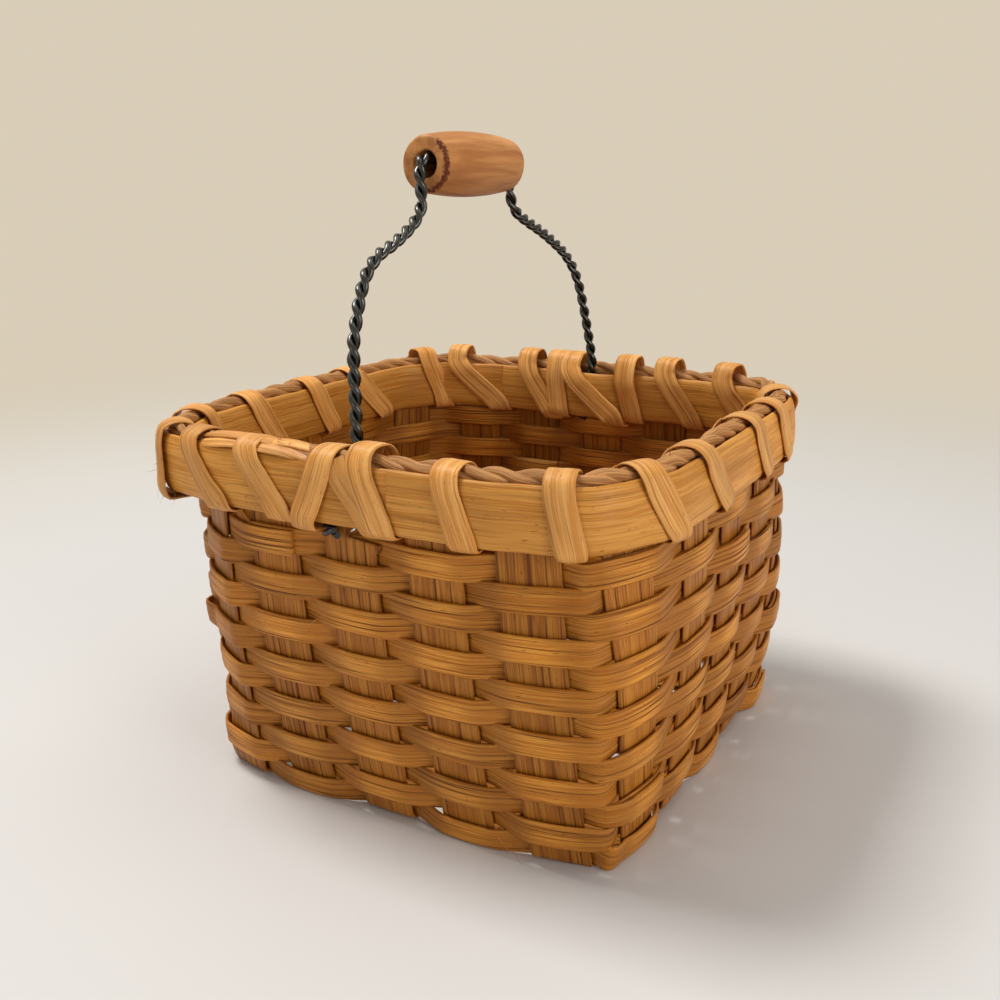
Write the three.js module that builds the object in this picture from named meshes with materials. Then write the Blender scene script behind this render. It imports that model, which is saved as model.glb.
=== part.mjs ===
// A square splint basket with a twisted wire bail and a turned wooden grip.
// Millimetres, +Z up. X runs along the front wall, Y from front to back, and the
// origin lies on the ground under the middle of the rim.
import * as THREE from "three";

// Splints
const stakeWidth = 12.7;
const stakeThickness = 0.9;
const weaverHeight = 4.7;
const weaverThickness = 1.3;
const weaverBow = 0.5;
const seat = 0.3;

// The wall's plan: a rounded square that grows from the bottom to the rim
const rimTop = 82.6;
const rimBottom = 69.6;
const baseHalfX = 52.4;
const baseHalfY = 54.8;
const topHalfX = 59.4;
const topHalfY = 60;
const belly = 2.6;
const baseSquareness = 8;
const topSquareness = 4.8;
const squareTo = 60;
const leanX = 2.4;
const leanY = 1.9;

// Uprights: five on each wall
const frontCount = 5;
const sideCount = 5;
const stakeTop = 80.8;
const foldRadius = 1.2;
const notchEdge = 0.2;
const notchStep = 0.05;

// How far out the outermost uprights stand, as a share of the wall's half width
const frontSpreadBase = 0.8;
const frontSpreadTop = 0.663;
const sideSpreadBase = 0.725;
const sideSpreadTop = 0.79;

// Weaver rows
const rowCount = 13;
const rowPitch = 5.07;
const firstRow = 2.9;
const firstRowHeight = 4.4;
const lastRowHeight = 4.9;
const firstRowLift = 0.55;
const firstRowInset = 0.4;
const turnIn = 0.5;

// Rim
const rimRowHeight = 9;
const rimRowThickness = 0.9;
const rimRowCentre = 74.7;
const bandThickness = 2;
const bandEdge = 0.6;
const fillerTop = 84.6;
const fillerHalfWidth = 1.55;
const lashWidth = 6;
const lashThickness = 0.9;
const lashStandOff = 0.9;
const lashLayer = 1.5;
const lashLayerDrop = 1.4;
const lashClear = 0.4;

// Bail and grip
const strandRadius = 0.6;
const twistRadius = 0.75;
const twistPitch = 7.4;
const hookX = -4.6;
const hookDrop = 1.7;
const notchDrop = 1.6;
const nearLegX = 1.75;
const farLegX = -1.05;
const legRise = 1.4;
const gripX = -5.3;
const gripStart = -20.3;
const gripEnd = 14.2;
const gripHeight = 139;
const gripEndRadius = 6.1;
const gripRadius = 7.2;
const boreRadius = 3.05;

const uprightCount = 2 * (frontCount + sideCount);
const nearMiddle = (frontCount - 1) / 2;
const farMiddle = uprightCount / 2 + nearMiddle;

// Places worked out from the sizes above
const pitch = (halfSide, spread, count) => (2 * spread * halfSide) / (count - 1);
const frontPitchBase = pitch(baseHalfX, frontSpreadBase, frontCount);
const frontPitchTop = pitch(topHalfX, frontSpreadTop, frontCount);
const sidePitchBase = pitch(baseHalfY, sideSpreadBase, sideCount);
const sidePitchTop = pitch(topHalfY, sideSpreadTop, sideCount);
const hookHeight = rimBottom - hookDrop;
const notchTop = hookHeight - notchDrop;
const legTop = rimTop + legRise;
const weaverOut = stakeThickness / 2 + seat + weaverThickness / 2;
const rimRowOut = stakeThickness / 2 + seat + rimRowThickness / 2;
const bandIn = rimRowOut + rimRowThickness / 2 + seat;
const bandOut = bandIn + bandThickness / 2;
const lashOut = bandIn + bandThickness + lashStandOff + lashThickness / 2;
const twistOutside = twistRadius + strandRadius;
const wireIn = stakeThickness / 2 + seat + twistOutside;
const bulgeIn = wireIn + twistOutside + seat - bandIn;
const wireHeight = gripHeight + boreRadius - twistOutside - seat;
const rimMiddle = (rimTop + rimBottom) / 2;

const mix = (a, b, t) => a + (b - a) * t;
const clamp01 = (t) => Math.min(1, Math.max(0, t));
const power = (v, p) => Math.sign(v) * Math.abs(v) ** p;

function plan(z) {
  const t = z / rimTop;
  const swell = belly * 4 * t * (1 - t);
  return {
    halfX: mix(baseHalfX, topHalfX, t) + swell,
    halfY: mix(baseHalfY, topHalfY, t) + swell,
    squareness: mix(baseSquareness, topSquareness, clamp01(z / squareTo)),
    frontPitch: mix(frontPitchBase, frontPitchTop, t),
    sidePitch: mix(sidePitchBase, sidePitchTop, t),
    middle: new THREE.Vector3(leanX, leanY, 0).multiplyScalar(1 - z / rimMiddle).setZ(z),
  };
}

// Where upright k meets height z. Uprights count round from the left of the front wall.
function wallPoint(k, z) {
  const p = plan(z);
  const half = uprightCount / 2;
  const turn = k < half ? 1 : -1;
  const place = k % half;
  let x;
  let y;
  if (place < frontCount) {
    x = (place - (frontCount - 1) / 2) * p.frontPitch;
    y = -p.halfY * (1 - Math.abs(x / p.halfX) ** p.squareness) ** (1 / p.squareness);
  } else {
    y = (place - frontCount - (sideCount - 1) / 2) * p.sidePitch;
    x = p.halfX * (1 - Math.abs(y / p.halfY) ** p.squareness) ** (1 / p.squareness);
  }
  const gradient = [
    power(x / p.halfX, p.squareness - 1) / p.halfX,
    power(y / p.halfY, p.squareness - 1) / p.halfY,
  ];
  const outward = new THREE.Vector3(turn * gradient[0], turn * gradient[1], 0).normalize();
  return { at: new THREE.Vector3(turn * x, turn * y, 0).add(p.middle), outward };
}

// The flat face of upright k at height z: along runs round the wall, out away from it.
function frameAt(upright, z) {
  const k = (upright + uprightCount) % uprightCount;
  const { at, outward } = wallPoint(k, z);
  const along = new THREE.Vector3(-outward.y, outward.x, 0);
  const rise = wallPoint(k, z + 1).at.sub(wallPoint(k, z - 1).at);
  const out = new THREE.Vector3().crossVectors(along, rise).normalize();
  const up = new THREE.Vector3().crossVectors(out, along);
  return { at, along, out, up };
}

const shifted = (frame, a, o, u = 0) =>
  frame.at
    .clone()
    .addScaledVector(frame.along, a)
    .addScaledVector(frame.out, o)
    .addScaledVector(frame.up, u);

// One closed solid from a row of sections, joined end to end or capped.
function skin(sections, ring) {
  const sides = sections[0].length;
  const points = sections.flat();
  const faces = [];
  const steps = ring ? sections.length : sections.length - 1;
  for (let i = 0; i < steps; i++) {
    const a = i * sides;
    const b = ((i + 1) % sections.length) * sides;
    for (let k = 0; k < sides; k++) {
      const next = (k + 1) % sides;
      faces.push([a + k, a + next, b + next], [a + k, b + next, b + k]);
    }
  }
  if (!ring) {
    const last = (sections.length - 1) * sides;
    for (let k = 1; k < sides - 1; k++) {
      faces.push([0, k + 1, k], [last, last + k, last + k + 1]);
    }
  }
  const volume = faces.reduce(
    (sum, [a, b, c]) => sum + points[a].dot(points[b].clone().cross(points[c])),
    0,
  );
  if (volume < 0) faces.forEach((face) => face.reverse());
  const geometry = new THREE.BufferGeometry();
  geometry.setAttribute(
    "position",
    new THREE.Float32BufferAttribute(points.flatMap((p) => [p.x, p.y, p.z]), 3),
  );
  geometry.setIndex(faces.flat());
  geometry.computeVertexNormals();
  return geometry;
}

// Sections of a strip that stands on edge along a ring of points.
function uprightStrip(spots, ring, profile) {
  return spots.map((spot, i) => {
    const before = spots[ring ? (i + spots.length - 1) % spots.length : Math.max(i - 1, 0)];
    const after = spots[ring ? (i + 1) % spots.length : Math.min(i + 1, spots.length - 1)];
    const along = after.at.clone().sub(before.at).normalize();
    const out = new THREE.Vector3().crossVectors(along, spot.up).normalize();
    return profile.map(([o, u]) =>
      spot.at.clone().addScaledVector(out, o).addScaledVector(spot.up, u),
    );
  });
}

const box = (thickness, height) => [
  [-thickness / 2, -height / 2],
  [thickness / 2, -height / 2],
  [thickness / 2, height / 2],
  [-thickness / 2, height / 2],
];

const materials = {
  splint: { color: 0xa4693a, roughness: 0.62, metalness: 0 },
  weaver: { color: 0x9a5f33, roughness: 0.62, metalness: 0 },
  rim: { color: 0xb0753f, roughness: 0.58, metalness: 0 },
  rush: { color: 0xa8713f, roughness: 0.8, metalness: 0 },
  wire: { color: 0x1c1f1b, roughness: 0.32, metalness: 0.9 },
  grip: { color: 0xb9824f, roughness: 0.5, metalness: 0 },
};

function piece(name, geometry, material) {
  const mesh = new THREE.Mesh(geometry, new THREE.MeshStandardMaterial(materials[material]));
  mesh.name = name;
  return mesh;
}

function group(name, ...children) {
  const made = new THREE.Group();
  made.name = name;
  children.forEach((child) => made.add(child));
  return made;
}

// The long and cross splints
const wallShares = [0.72, 0.61, 0.5, 0.38, 0.27, 0.16, 0.07];
const wallHeights = [
  stakeTop,
  (stakeTop + notchTop) / 2,
  notchTop + notchStep,
  notchTop,
  ...wallShares.map((share) => share * stakeTop),
];
const layerLow = stakeThickness / 2;
const layerHigh = layerLow + stakeThickness + seat;
const crossingRoom = 0.35;
const crossingHalf = stakeWidth / 2 + crossingRoom;
const skewRun = 6.5;

// Half a splint's way: down upright k from the rim to the fold at the wall's foot.
function wallSections(k, width, notched, layer) {
  const foot = layer + foldRadius;
  const sections = [...wallHeights, foot].map((z) => {
    const frame = frameAt(k, z);
    return { frame, cut: notched && z > notchTop };
  });
  return sections.map(({ frame, cut }) => {
    const leftEdge = cut && frame.along.x > 0 ? notchEdge : -width / 2;
    const rightEdge = cut && frame.along.x < 0 ? -notchEdge : width / 2;
    return [
      shifted(frame, leftEdge, -stakeThickness / 2),
      shifted(frame, rightEdge, -stakeThickness / 2),
      shifted(frame, rightEdge, stakeThickness / 2),
      shifted(frame, leftEdge, stakeThickness / 2),
    ];
  });
}

// The fold from the wall's foot to flat on the ground, and the start of the flat run.
function foldSections(k, width, layer) {
  const foot = layer + foldRadius;
  const frame = frameAt(k, foot);
  const inward = new THREE.Vector3(-frame.out.x, -frame.out.y, 0).normalize();
  const pivot = frame.at.clone().addScaledVector(inward, foldRadius);
  const sections = [45, 90].map((degrees) => {
    const angle = THREE.MathUtils.degToRad(degrees);
    const spoke = inward.clone().multiplyScalar(-Math.cos(angle));
    spoke.z = -Math.sin(angle);
    const centre = pivot.clone().addScaledVector(spoke, foldRadius);
    return { centre, across: frame.along, out: spoke };
  });
  return sections.map(({ centre, across, out }) =>
    [
      [-width / 2, -stakeThickness / 2],
      [width / 2, -stakeThickness / 2],
      [width / 2, stakeThickness / 2],
      [-width / 2, stakeThickness / 2],
    ].map(([a, o]) => centre.clone().addScaledVector(across, a).addScaledVector(out, o)),
  );
}

// A section flat on the ground, its width across the splint's own direction.
function flatSection(x, y, z, across, width) {
  const centre = new THREE.Vector3(x, y, z);
  return [
    [-width / 2, stakeThickness / 2],
    [width / 2, stakeThickness / 2],
    [width / 2, -stakeThickness / 2],
    [-width / 2, -stakeThickness / 2],
  ].map(([a, o]) => centre.clone().addScaledVector(across, a).add(new THREE.Vector3(0, 0, o)));
}

// A whole splint: down one wall, across the bottom over and under, and up the other wall.
function splint(startUpright, endUpright, crossings, notched, layer) {
  const [down, up] = [startUpright, endUpright].map((k) => [
    ...wallSections(k, stakeWidth, notched, layer),
    ...foldSections(k, stakeWidth, layer),
  ]);
  const flat = crossings.map(({ x, y, z, across }) => flatSection(x, y, z, across, stakeWidth));
  // The far wall's frames run the other way round, so its sections swap their edges.
  const risen = up.reverse().map(([a, b, c, d]) => [b, a, d, c]);
  return skin([...down, ...flat, ...risen], false);
}

function bottomPlaces(count, pitch) {
  return Array.from({ length: count }, (_, i) => (i - (count - 1) / 2) * pitch);
}

const longPlaces = bottomPlaces(frontCount, frontPitchBase);
const crossPlaces = bottomPlaces(sideCount, sidePitchBase);
const isLow = (long, cross) => (long + cross) % 2 === 0;

function longSplint(i) {
  const x = longPlaces[i] + leanX;
  const across = new THREE.Vector3(1, 0, 0);
  const reach = baseHalfY - foldRadius - skewRun;
  const flat = [{ x, y: leanY - reach, z: layerLow, across }];
  crossPlaces.forEach((place, j) => {
    const z = isLow(i, j) ? layerLow : layerHigh;
    flat.push({ x, y: place + leanY - crossingHalf, z, across });
    flat.push({ x, y: place + leanY + crossingHalf, z, across });
  });
  flat.push({ x, y: leanY + reach, z: layerLow, across });
  const farUpright = uprightCount / 2 + frontCount - 1 - i;
  return splint(i, farUpright, flat, i === nearMiddle, layerLow);
}

function crossSplint(j) {
  const y = crossPlaces[j] + leanY;
  const across = new THREE.Vector3(0, 1, 0);
  const flat = [];
  longPlaces
    .map((place, i) => ({ place, i }))
    .reverse()
    .forEach(({ place, i }) => {
      const z = isLow(i, j) ? layerHigh : layerLow;
      flat.push({ x: place + leanX + crossingHalf, y, z, across });
      flat.push({ x: place + leanX - crossingHalf, y, z, across });
    });
  const farUpright = uprightCount - 1 - j;
  return splint(frontCount + j, farUpright, flat, false, isLow(0, j) ? layerHigh : layerLow);
}

// Weaver rows
const cornerAfter = [frontCount - 1, frontCount + sideCount - 1].flatMap((k) => [
  k,
  k + uprightCount / 2,
]);
const uprights = Array.from({ length: uprightCount }, (_, k) => k);
const gapEdge = stakeWidth / 2 + turnIn;

// The rounded corner between upright k and the next, pushed out by o.
function cornerSpot(k, z, o) {
  const here = frameAt(k, z);
  const next = frameAt(k + 1, z);
  const from = shifted(here, gapEdge, o);
  const to = shifted(next, -gapEdge, o);
  const turn = Math.acos(clamp01(here.along.dot(next.along)));
  const reach = (from.distanceTo(to) / 2) * Math.tan(turn / 4);
  const out = here.out.clone().add(next.out).normalize();
  const up = here.up.clone().add(next.up).normalize();
  return { at: from.lerp(to, 0.5).addScaledVector(out, reach), up, out };
}

function weaverRow(row) {
  const first = row === 1;
  const height = first ? firstRowHeight : row === rowCount ? lastRowHeight : weaverHeight;
  const middle = firstRow + (row - 1) * rowPitch;
  const spots = uprights.flatMap((k) => {
    const over = (k + row) % 2 === 0;
    const z = middle + (first && !over ? firstRowLift : 0);
    const frame = frameAt(k, z);
    const out = over ? weaverOut : -weaverOut - (first ? firstRowInset : 0);
    const places = over ? [-gapEdge, 0, gapEdge] : [-gapEdge, gapEdge];
    const made = places.map((a) => ({
      at: shifted(frame, a, out + (a === 0 ? weaverBow : 0)),
      up: frame.up,
    }));
    if (cornerAfter.includes(k)) {
      made.push(cornerSpot(k, middle + (first ? firstRowLift / 2 : 0), 0));
    }
    return made;
  });
  return skin(uprightStrip(spots, true, box(weaverThickness, height)), true);
}

// The rim's run, measured along a line of knots at the uprights' faces
const bulgeFlat = 5.2;
const bulgeEnd = 10.5;
const knots = uprights.flatMap((k) => {
  const middle = k === nearMiddle || k === farMiddle;
  const places = middle ? [-bulgeEnd, -bulgeFlat, bulgeFlat, bulgeEnd] : [-gapEdge, gapEdge];
  const made = places.map((a) => ({ k, a }));
  if (cornerAfter.includes(k)) made.push({ k, corner: true });
  return made;
});

function knotPoint(knot, o, z) {
  if (knot.corner) return cornerSpot(knot.k, z, o);
  const frame = frameAt(knot.k, z);
  return { at: shifted(frame, knot.a, o), up: frame.up, out: frame.out };
}

const knotDistance = [0];
knots.forEach((knot, i) => {
  const next = knots[(i + 1) % knots.length];
  const step = knotPoint(knot, 0, rimMiddle).at.distanceTo(knotPoint(next, 0, rimMiddle).at);
  knotDistance.push(knotDistance[i] + step);
});
const rimLength = knotDistance[knots.length];
const knotIndex = (k, last) =>
  last ? knots.findLastIndex((n) => n.k === k && !n.corner) : knots.findIndex((n) => n.k === k);

const uprightRun = (k) => {
  const first = knotDistance[knotIndex(k, false)];
  const last = knotDistance[knotIndex(k, true)];
  return (first + last) / 2;
};

// The run at a place counted in uprights: 2 is at upright 2, and 2.5 in the gap after it.
const runAt = (place) => {
  const k = Math.floor(place);
  const [start, end] = [k, k + 1].map(
    (n) => uprightRun(n % uprightCount) + rimLength * Math.floor(n / uprightCount),
  );
  return mix(start, end, place - k);
};

function rimPlace(run, o, z) {
  const wrapped = ((run % rimLength) + rimLength) % rimLength;
  const i = knotDistance.findLastIndex((distance) => distance <= wrapped);
  const share = (wrapped - knotDistance[i]) / (knotDistance[i + 1] - knotDistance[i]);
  const from = knotPoint(knots[i], o, z).at;
  return from.lerp(knotPoint(knots[(i + 1) % knots.length], o, z).at, share);
}

// How far the inner band stands off for the handle's wire, 0 to 1, at a run along the rim.
const middleRuns = [nearMiddle, farMiddle].map(uprightRun);
function bulgeAt(run, spread = 0) {
  const shares = middleRuns.map((middle) => {
    const away = Math.abs(((run - middle + 1.5 * rimLength) % rimLength) - rimLength / 2);
    return 1 - clamp01((away - spread - bulgeFlat) / (bulgeEnd - bulgeFlat));
  });
  return Math.max(...shares);
}

// Rim row, bands and filler
function rimRow() {
  const order = uprights.map((_, i) => (farMiddle + 1 + i) % uprightCount).slice(0, -1);
  const spots = order.flatMap((k) => {
    const frame = frameAt(k, rimRowCentre);
    const out = k % 2 === 0 ? rimRowOut : -rimRowOut;
    const made = [-gapEdge, gapEdge].map((a) => ({ at: shifted(frame, a, out), up: frame.up }));
    if (cornerAfter.includes(k)) made.push(cornerSpot(k, rimRowCentre, 0));
    return made;
  });
  return skin(uprightStrip(spots, false, box(rimRowThickness, rimRowHeight)), false);
}

function rimBand(side) {
  const half = (rimTop - rimBottom) / 2;
  const thick = bandThickness / 2;
  const flatOval = [
    [-thick, -half],
    [thick - bandEdge, -half + bandEdge / 2],
    [thick, -half + 3 * bandEdge],
    [thick, half - 3 * bandEdge],
    [thick - bandEdge, half - bandEdge / 2],
    [-thick, half],
  ].map(([o, u]) => [side * o, u]);
  const spots = knots.map((knot, i) => {
    const bulge = side < 0 ? bulgeIn * bulgeAt(knotDistance[i]) : 0;
    return knotPoint(knot, side * (bandOut + bulge), rimMiddle);
  });
  return skin(uprightStrip(spots, true, flatOval), true);
}

function rimFiller() {
  const bottom = stakeTop + seat;
  const middle = (bottom + fillerTop) / 2;
  const half = (fillerTop - bottom) / 2;
  const sections = knots.map((knot, i) => {
    const bulge = bulgeAt(knotDistance[i]);
    const outer = fillerHalfWidth;
    const inner = mix(-fillerHalfWidth, -stakeThickness / 2, bulge);
    const centre = (outer + inner) / 2;
    const spot = knotPoint(knot, 0, middle);
    return [
      [inner, -half],
      [outer, -half],
      [outer, half * 0.3],
      [mix(centre, outer, 0.5), half],
      [mix(centre, inner, 0.5), half],
      [inner, half * 0.3],
    ].map(([o, u]) =>
      spot.at.clone().addScaledVector(spot.out, o).addScaledVector(spot.up, u),
    );
  });
  return skin(sections, true);
}

// The lashing: one winding through every gap between uprights. Each loop goes in through a
// gap under the bands, up inside, over the rim, and down outside to its next gap. Beside
// each wire leg one gap is passed twice, the second time under the first. Each row holds
// the place where a loop goes over the rim and the place where it goes in, in uprights.
const lashStart = 10.5;
const lashWraps = [
  [10.9, 11.5],
  [11.55, 11.5],
  [12.36, 12.5],
  [13.05, 13.5],
  [14.2, 14.5],
  [15.2, 15.5],
  [16.2, 16.5],
  [17, 17.5],
  [18, 18.5],
  [18.9, 19.5],
  [20, 20.5],
  [20.9, 21.5],
  [21.72, 21.5],
  [22.4, 22.5],
  [23.25, 23.5],
  [24.25, 24.5],
  [25.1, 25.5],
  [25.95, 26.5],
  [27.1, 27.5],
  [28.05, 28.5],
  [28.9, 29.5],
  [30, 30.5],
];

function lashLoops() {
  let from = lashStart;
  let layerFrom = 0;
  return lashWraps.map(([over, to]) => {
    const layerTo = to === from ? 1 : 0;
    const loop = { from: runAt(from), top: runAt(over), to: runAt(to), layerFrom, layerTo };
    from = to;
    layerFrom = layerTo;
    return loop;
  });
}

const lashBottom = rimBottom - lashClear - lashThickness / 2;
const lashTopHeight = fillerTop + lashClear + lashThickness / 2;
const lowCorner = 1.6;
const highCorner = 3;

// Stations of one loop, each with its run, its place across the rim and its direction.
function loopStations(loop) {
  const stations = [];
  const cornerArc = (side, high, run, layer, order) => {
    const radius = high ? highCorner : lowCorner;
    const reach = lashOut + layer * lashLayer - radius;
    const bottom = lashBottom - layer * lashLayerDrop;
    const height = high ? lashTopHeight - radius : bottom + radius;
    order.forEach((degrees) => {
      const angle = THREE.MathUtils.degToRad(degrees);
      const o = side * (reach + radius * Math.sin(angle));
      const z = height + (high ? 1 : -1) * radius * Math.cos(angle);
      const normal = [side * Math.sin(angle), (high ? 1 : -1) * Math.cos(angle)];
      stations.push({ run, o, z, normal });
    });
  };
  const side = (sign, runFrom, runTo, layerFrom, layerTo) => {
    [1 / 3, 2 / 3].forEach((share) => {
      const held = sign < 0 ? clamp01(2 * share - 0.9) : clamp01(1.5 * share);
      const layer = mix(layerFrom, layerTo, held);
      const low = lashBottom + lowCorner;
      const high = lashTopHeight - highCorner;
      stations.push({
        run: mix(runFrom, runTo, share),
        o: sign * (lashOut + layer * lashLayer),
        z: sign < 0 ? mix(low, high, share) : mix(high, low, share),
        normal: [sign, 0],
      });
    });
  };
  cornerArc(-1, false, loop.from, loop.layerFrom, [0, 45, 90]);
  side(-1, loop.from, loop.top, loop.layerFrom, 0);
  cornerArc(-1, true, loop.top, 0, [90, 45, 0]);
  cornerArc(1, true, loop.top, 0, [0, 45, 90]);
  side(1, loop.top, loop.to, 0, loop.layerTo);
  cornerArc(1, false, loop.to, loop.layerTo, [90, 45, 0]);
  return stations;
}

function lashSection({ run, o, z, normal }) {
  const inside = clamp01(-o / lashOut);
  const bulge = -bulgeIn * bulgeAt(run, lashWidth / 2) * inside;
  const half = lashThickness / 2;
  const profile = [
    [-lashWidth / 2, 0],
    [-lashWidth / 2 + 0.8, half],
    [lashWidth / 2 - 0.8, half],
    [lashWidth / 2, 0],
    [lashWidth / 2 - 0.8, -half],
    [-lashWidth / 2 + 0.8, -half],
  ];
  return profile.map(([a, t]) => rimPlace(run + a, o + bulge + t * normal[0], z + t * normal[1]));
}

// The least gap between turns of a tube, on points spread over its surface. Points of
// sections closer than apart belong to the same turn.
function leastGap(sections, apart) {
  const points = [];
  const sub = 3;
  for (let i = 0; i < sections.length - 1; i++) {
    for (let s = 0; s < sub; s++) {
      const row = sections[i].map((p, k) => p.clone().lerp(sections[i + 1][k], s / sub));
      row.forEach((p, k) => {
        const next = row[(k + 1) % row.length];
        points.push({ at: p, i });
        points.push({ at: p.clone().lerp(next, 0.5), i });
      });
    }
  }
  let least = Infinity;
  for (let a = 0; a < points.length; a++) {
    for (let b = a + 1; b < points.length; b++) {
      if (points[b].i - points[a].i < apart) continue;
      least = Math.min(least, points[a].at.distanceToSquared(points[b].at));
    }
  }
  return Math.sqrt(least);
}

function rimLashing() {
  const stations = lashLoops().flatMap(loopStations);
  const tuckedStart = 4;
  const sections = stations.slice(tuckedStart).map(lashSection);
  console.log("rim_lashing least gap to itself", leastGap(sections, 9).toFixed(2), "mm");
  return skin(sections, false);
}

// The bail: its route goes from the near hook up the leg, over through the grip and down
// to the far hook. Each leg leans from its place at the rim towards the grip.
const hookTurn = 2;
const hookReach = 3.6;
const hookOut = 2.3;

// From the hook's tip to the leg's foot: x counts from the hook, o from the uprights' plane.
const hookPoints = [
  [hookReach, hookOut, hookHeight],
  [2, hookOut, hookHeight],
  [0.6, 1.75, hookHeight],
  [0, 0.5, hookHeight],
  [0, hookTurn - wireIn, hookHeight],
  [0, hookTurn * (1 - Math.SQRT1_2) - wireIn, hookHeight + hookTurn * (1 - Math.SQRT1_2)],
  [0, -wireIn, hookHeight + hookTurn],
];
// How far up each leg's stiff stretch, from the hook's bend to the rim's top
const legShares = [0.3, 0.65, 1];

// Free points of each leg as shares: how far out from the grip's end towards the leg's foot,
// and how far up from the rim's top to the wire inside the grip.
const nearRoute = [
  [0.997, 0.06],
  [0.971, 0.149],
  [0.936, 0.284],
  [0.902, 0.378],
  [0.846, 0.457],
  [0.772, 0.543],
  [0.695, 0.603],
  [0.586, 0.652],
  [0.411, 0.693],
  [0.257, 0.738],
  [0.149, 0.782],
  [0.09, 0.83],
  [0.077, 0.887],
  [0.069, 0.94],
  [0.04, 0.982],
  [-0.013, 0.998],
];
const boreShares = [0.125, 0.36, 0.645, 0.893];
const farRoute = [
  [0, 0.996],
  [0.039, 0.972],
  [0.053, 0.929],
  [0.051, 0.879],
  [0.065, 0.826],
  [0.115, 0.777],
  [0.244, 0.732],
  [0.406, 0.684],
  [0.571, 0.626],
  [0.7, 0.571],
  [0.802, 0.502],
  [0.864, 0.431],
  [0.922, 0.31],
  [0.97, 0.17],
  [0.998, 0.074],
];

// Out from the uprights' plane of upright k, at height z.
const wallY = (k, o, z) => shifted(frameAt(k, z), 0, o).y;

function hookSide(k, legX) {
  const tip = hookPoints.map(([x, o, z]) => [hookX + x, o, z]);
  const bend = hookHeight + hookTurn;
  const leg = legShares.map((share) => {
    return [mix(hookX, legX, share), -wireIn, mix(bend, legTop, share)];
  });
  return [...tip, ...leg].map(([x, o, z]) => new THREE.Vector3(x, wallY(k, o, z), z));
}

function freeSide(route, k, legX, gripY) {
  const footY = wallY(k, -wireIn, legTop);
  return route.map(([out, rise]) => {
    const z = mix(legTop, wireHeight, rise);
    const x = mix(legX, gripX, (z - legTop) / (gripHeight - legTop));
    return new THREE.Vector3(x, mix(gripY, footY, out), z);
  });
}

function boreSide() {
  const x = mix(nearLegX, gripX, (wireHeight - legTop) / (gripHeight - legTop));
  return boreShares.map((share) => new THREE.Vector3(x, mix(gripStart, gripEnd, share), wireHeight));
}

function bailCurve() {
  const route = [
    ...hookSide(nearMiddle, nearLegX),
    ...freeSide(nearRoute, nearMiddle, nearLegX, gripStart),
    ...boreSide(),
    ...freeSide(farRoute, farMiddle, farLegX, gripEnd),
    ...hookSide(farMiddle, farLegX).reverse(),
  ];
  return new THREE.CatmullRomCurve3(route, false, "centripetal");
}

function strand(curve, phase) {
  const stepsPerTurn = 6;
  const sides = 5;
  const length = curve.getLength();
  const count = Math.round((length / twistPitch) * stepsPerTurn);
  const frames = [];
  let normal = new THREE.Vector3(1, 0, 0);
  for (let i = 0; i <= count; i++) {
    const at = curve.getPointAt(i / count);
    const tangent = curve.getTangentAt(i / count);
    normal = normal.clone().addScaledVector(tangent, -normal.dot(tangent)).normalize();
    const angle = (i / stepsPerTurn) * 2 * Math.PI + phase;
    const spoke = normal.clone().applyAxisAngle(tangent, angle);
    frames.push({ centre: at.addScaledVector(spoke, twistRadius), spoke });
  }
  const sections = frames.map(({ centre, spoke }, i) => {
    const before = frames[Math.max(i - 1, 0)].centre;
    const after = frames[Math.min(i + 1, frames.length - 1)].centre;
    const direction = after.clone().sub(before).normalize();
    const out = spoke.clone().addScaledVector(direction, -spoke.dot(direction)).normalize();
    return Array.from({ length: sides }, (_, s) => {
      const turn = (s / sides) * 2 * Math.PI;
      const arm = out.clone().applyAxisAngle(direction, turn);
      return centre.clone().addScaledVector(arm, strandRadius);
    });
  });
  return skin(sections, false);
}

// The grip: a barrel turned on a lathe, with its bore
function gripShape() {
  const half = (gripEnd - gripStart) / 2;
  const round = 0.8;
  const profile = [new THREE.Vector2(boreRadius, -half), new THREE.Vector2(gripEndRadius - round, -half)];
  const steps = 8;
  for (let i = 0; i <= steps; i++) {
    const along = mix(-half + round, half - round, i / steps);
    const share = along / half;
    const radius = gripRadius - (gripRadius - gripEndRadius) * share * share;
    profile.push(new THREE.Vector2(radius, along));
  }
  profile.push(new THREE.Vector2(gripEndRadius - round, half), new THREE.Vector2(boreRadius, half));
  profile.push(profile[0].clone());
  const geometry = new THREE.LatheGeometry(profile, 20);
  geometry.translate(gripX, (gripStart + gripEnd) / 2, gripHeight);
  return geometry;
}

const names = (word, count) => Array.from({ length: count }, (_, i) => [i, `${word}_${i + 1}`]);

const longSplints = names("long_splint", frontCount).map(([i, name]) =>
  piece(name, longSplint(i), "splint"),
);
const crossSplints = names("cross_splint", sideCount).map(([j, name]) =>
  piece(name, crossSplint(j), "splint"),
);
const weaverRows = names("weaver_row", rowCount).map(([i, name]) =>
  piece(name, weaverRow(i + 1), "weaver"),
);
const rim = group(
  "rim",
  piece("rim_row", rimRow(), "weaver"),
  piece("rim_band_outer", rimBand(1), "rim"),
  piece("rim_band_inner", rimBand(-1), "rim"),
  piece("rim_filler", rimFiller(), "rush"),
  piece("rim_lashing", rimLashing(), "rim"),
);
const curve = bailCurve();
const bail = group(
  "bail",
  piece("bail_wire_1", strand(curve, 0), "wire"),
  piece("bail_wire_2", strand(curve, Math.PI), "wire"),
  piece("grip", gripShape(), "grip"),
);

const basket = group(
  "splint_basket",
  group("woven_body", ...longSplints, ...crossSplints, ...weaverRows),
  rim,
  bail,
);

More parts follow.
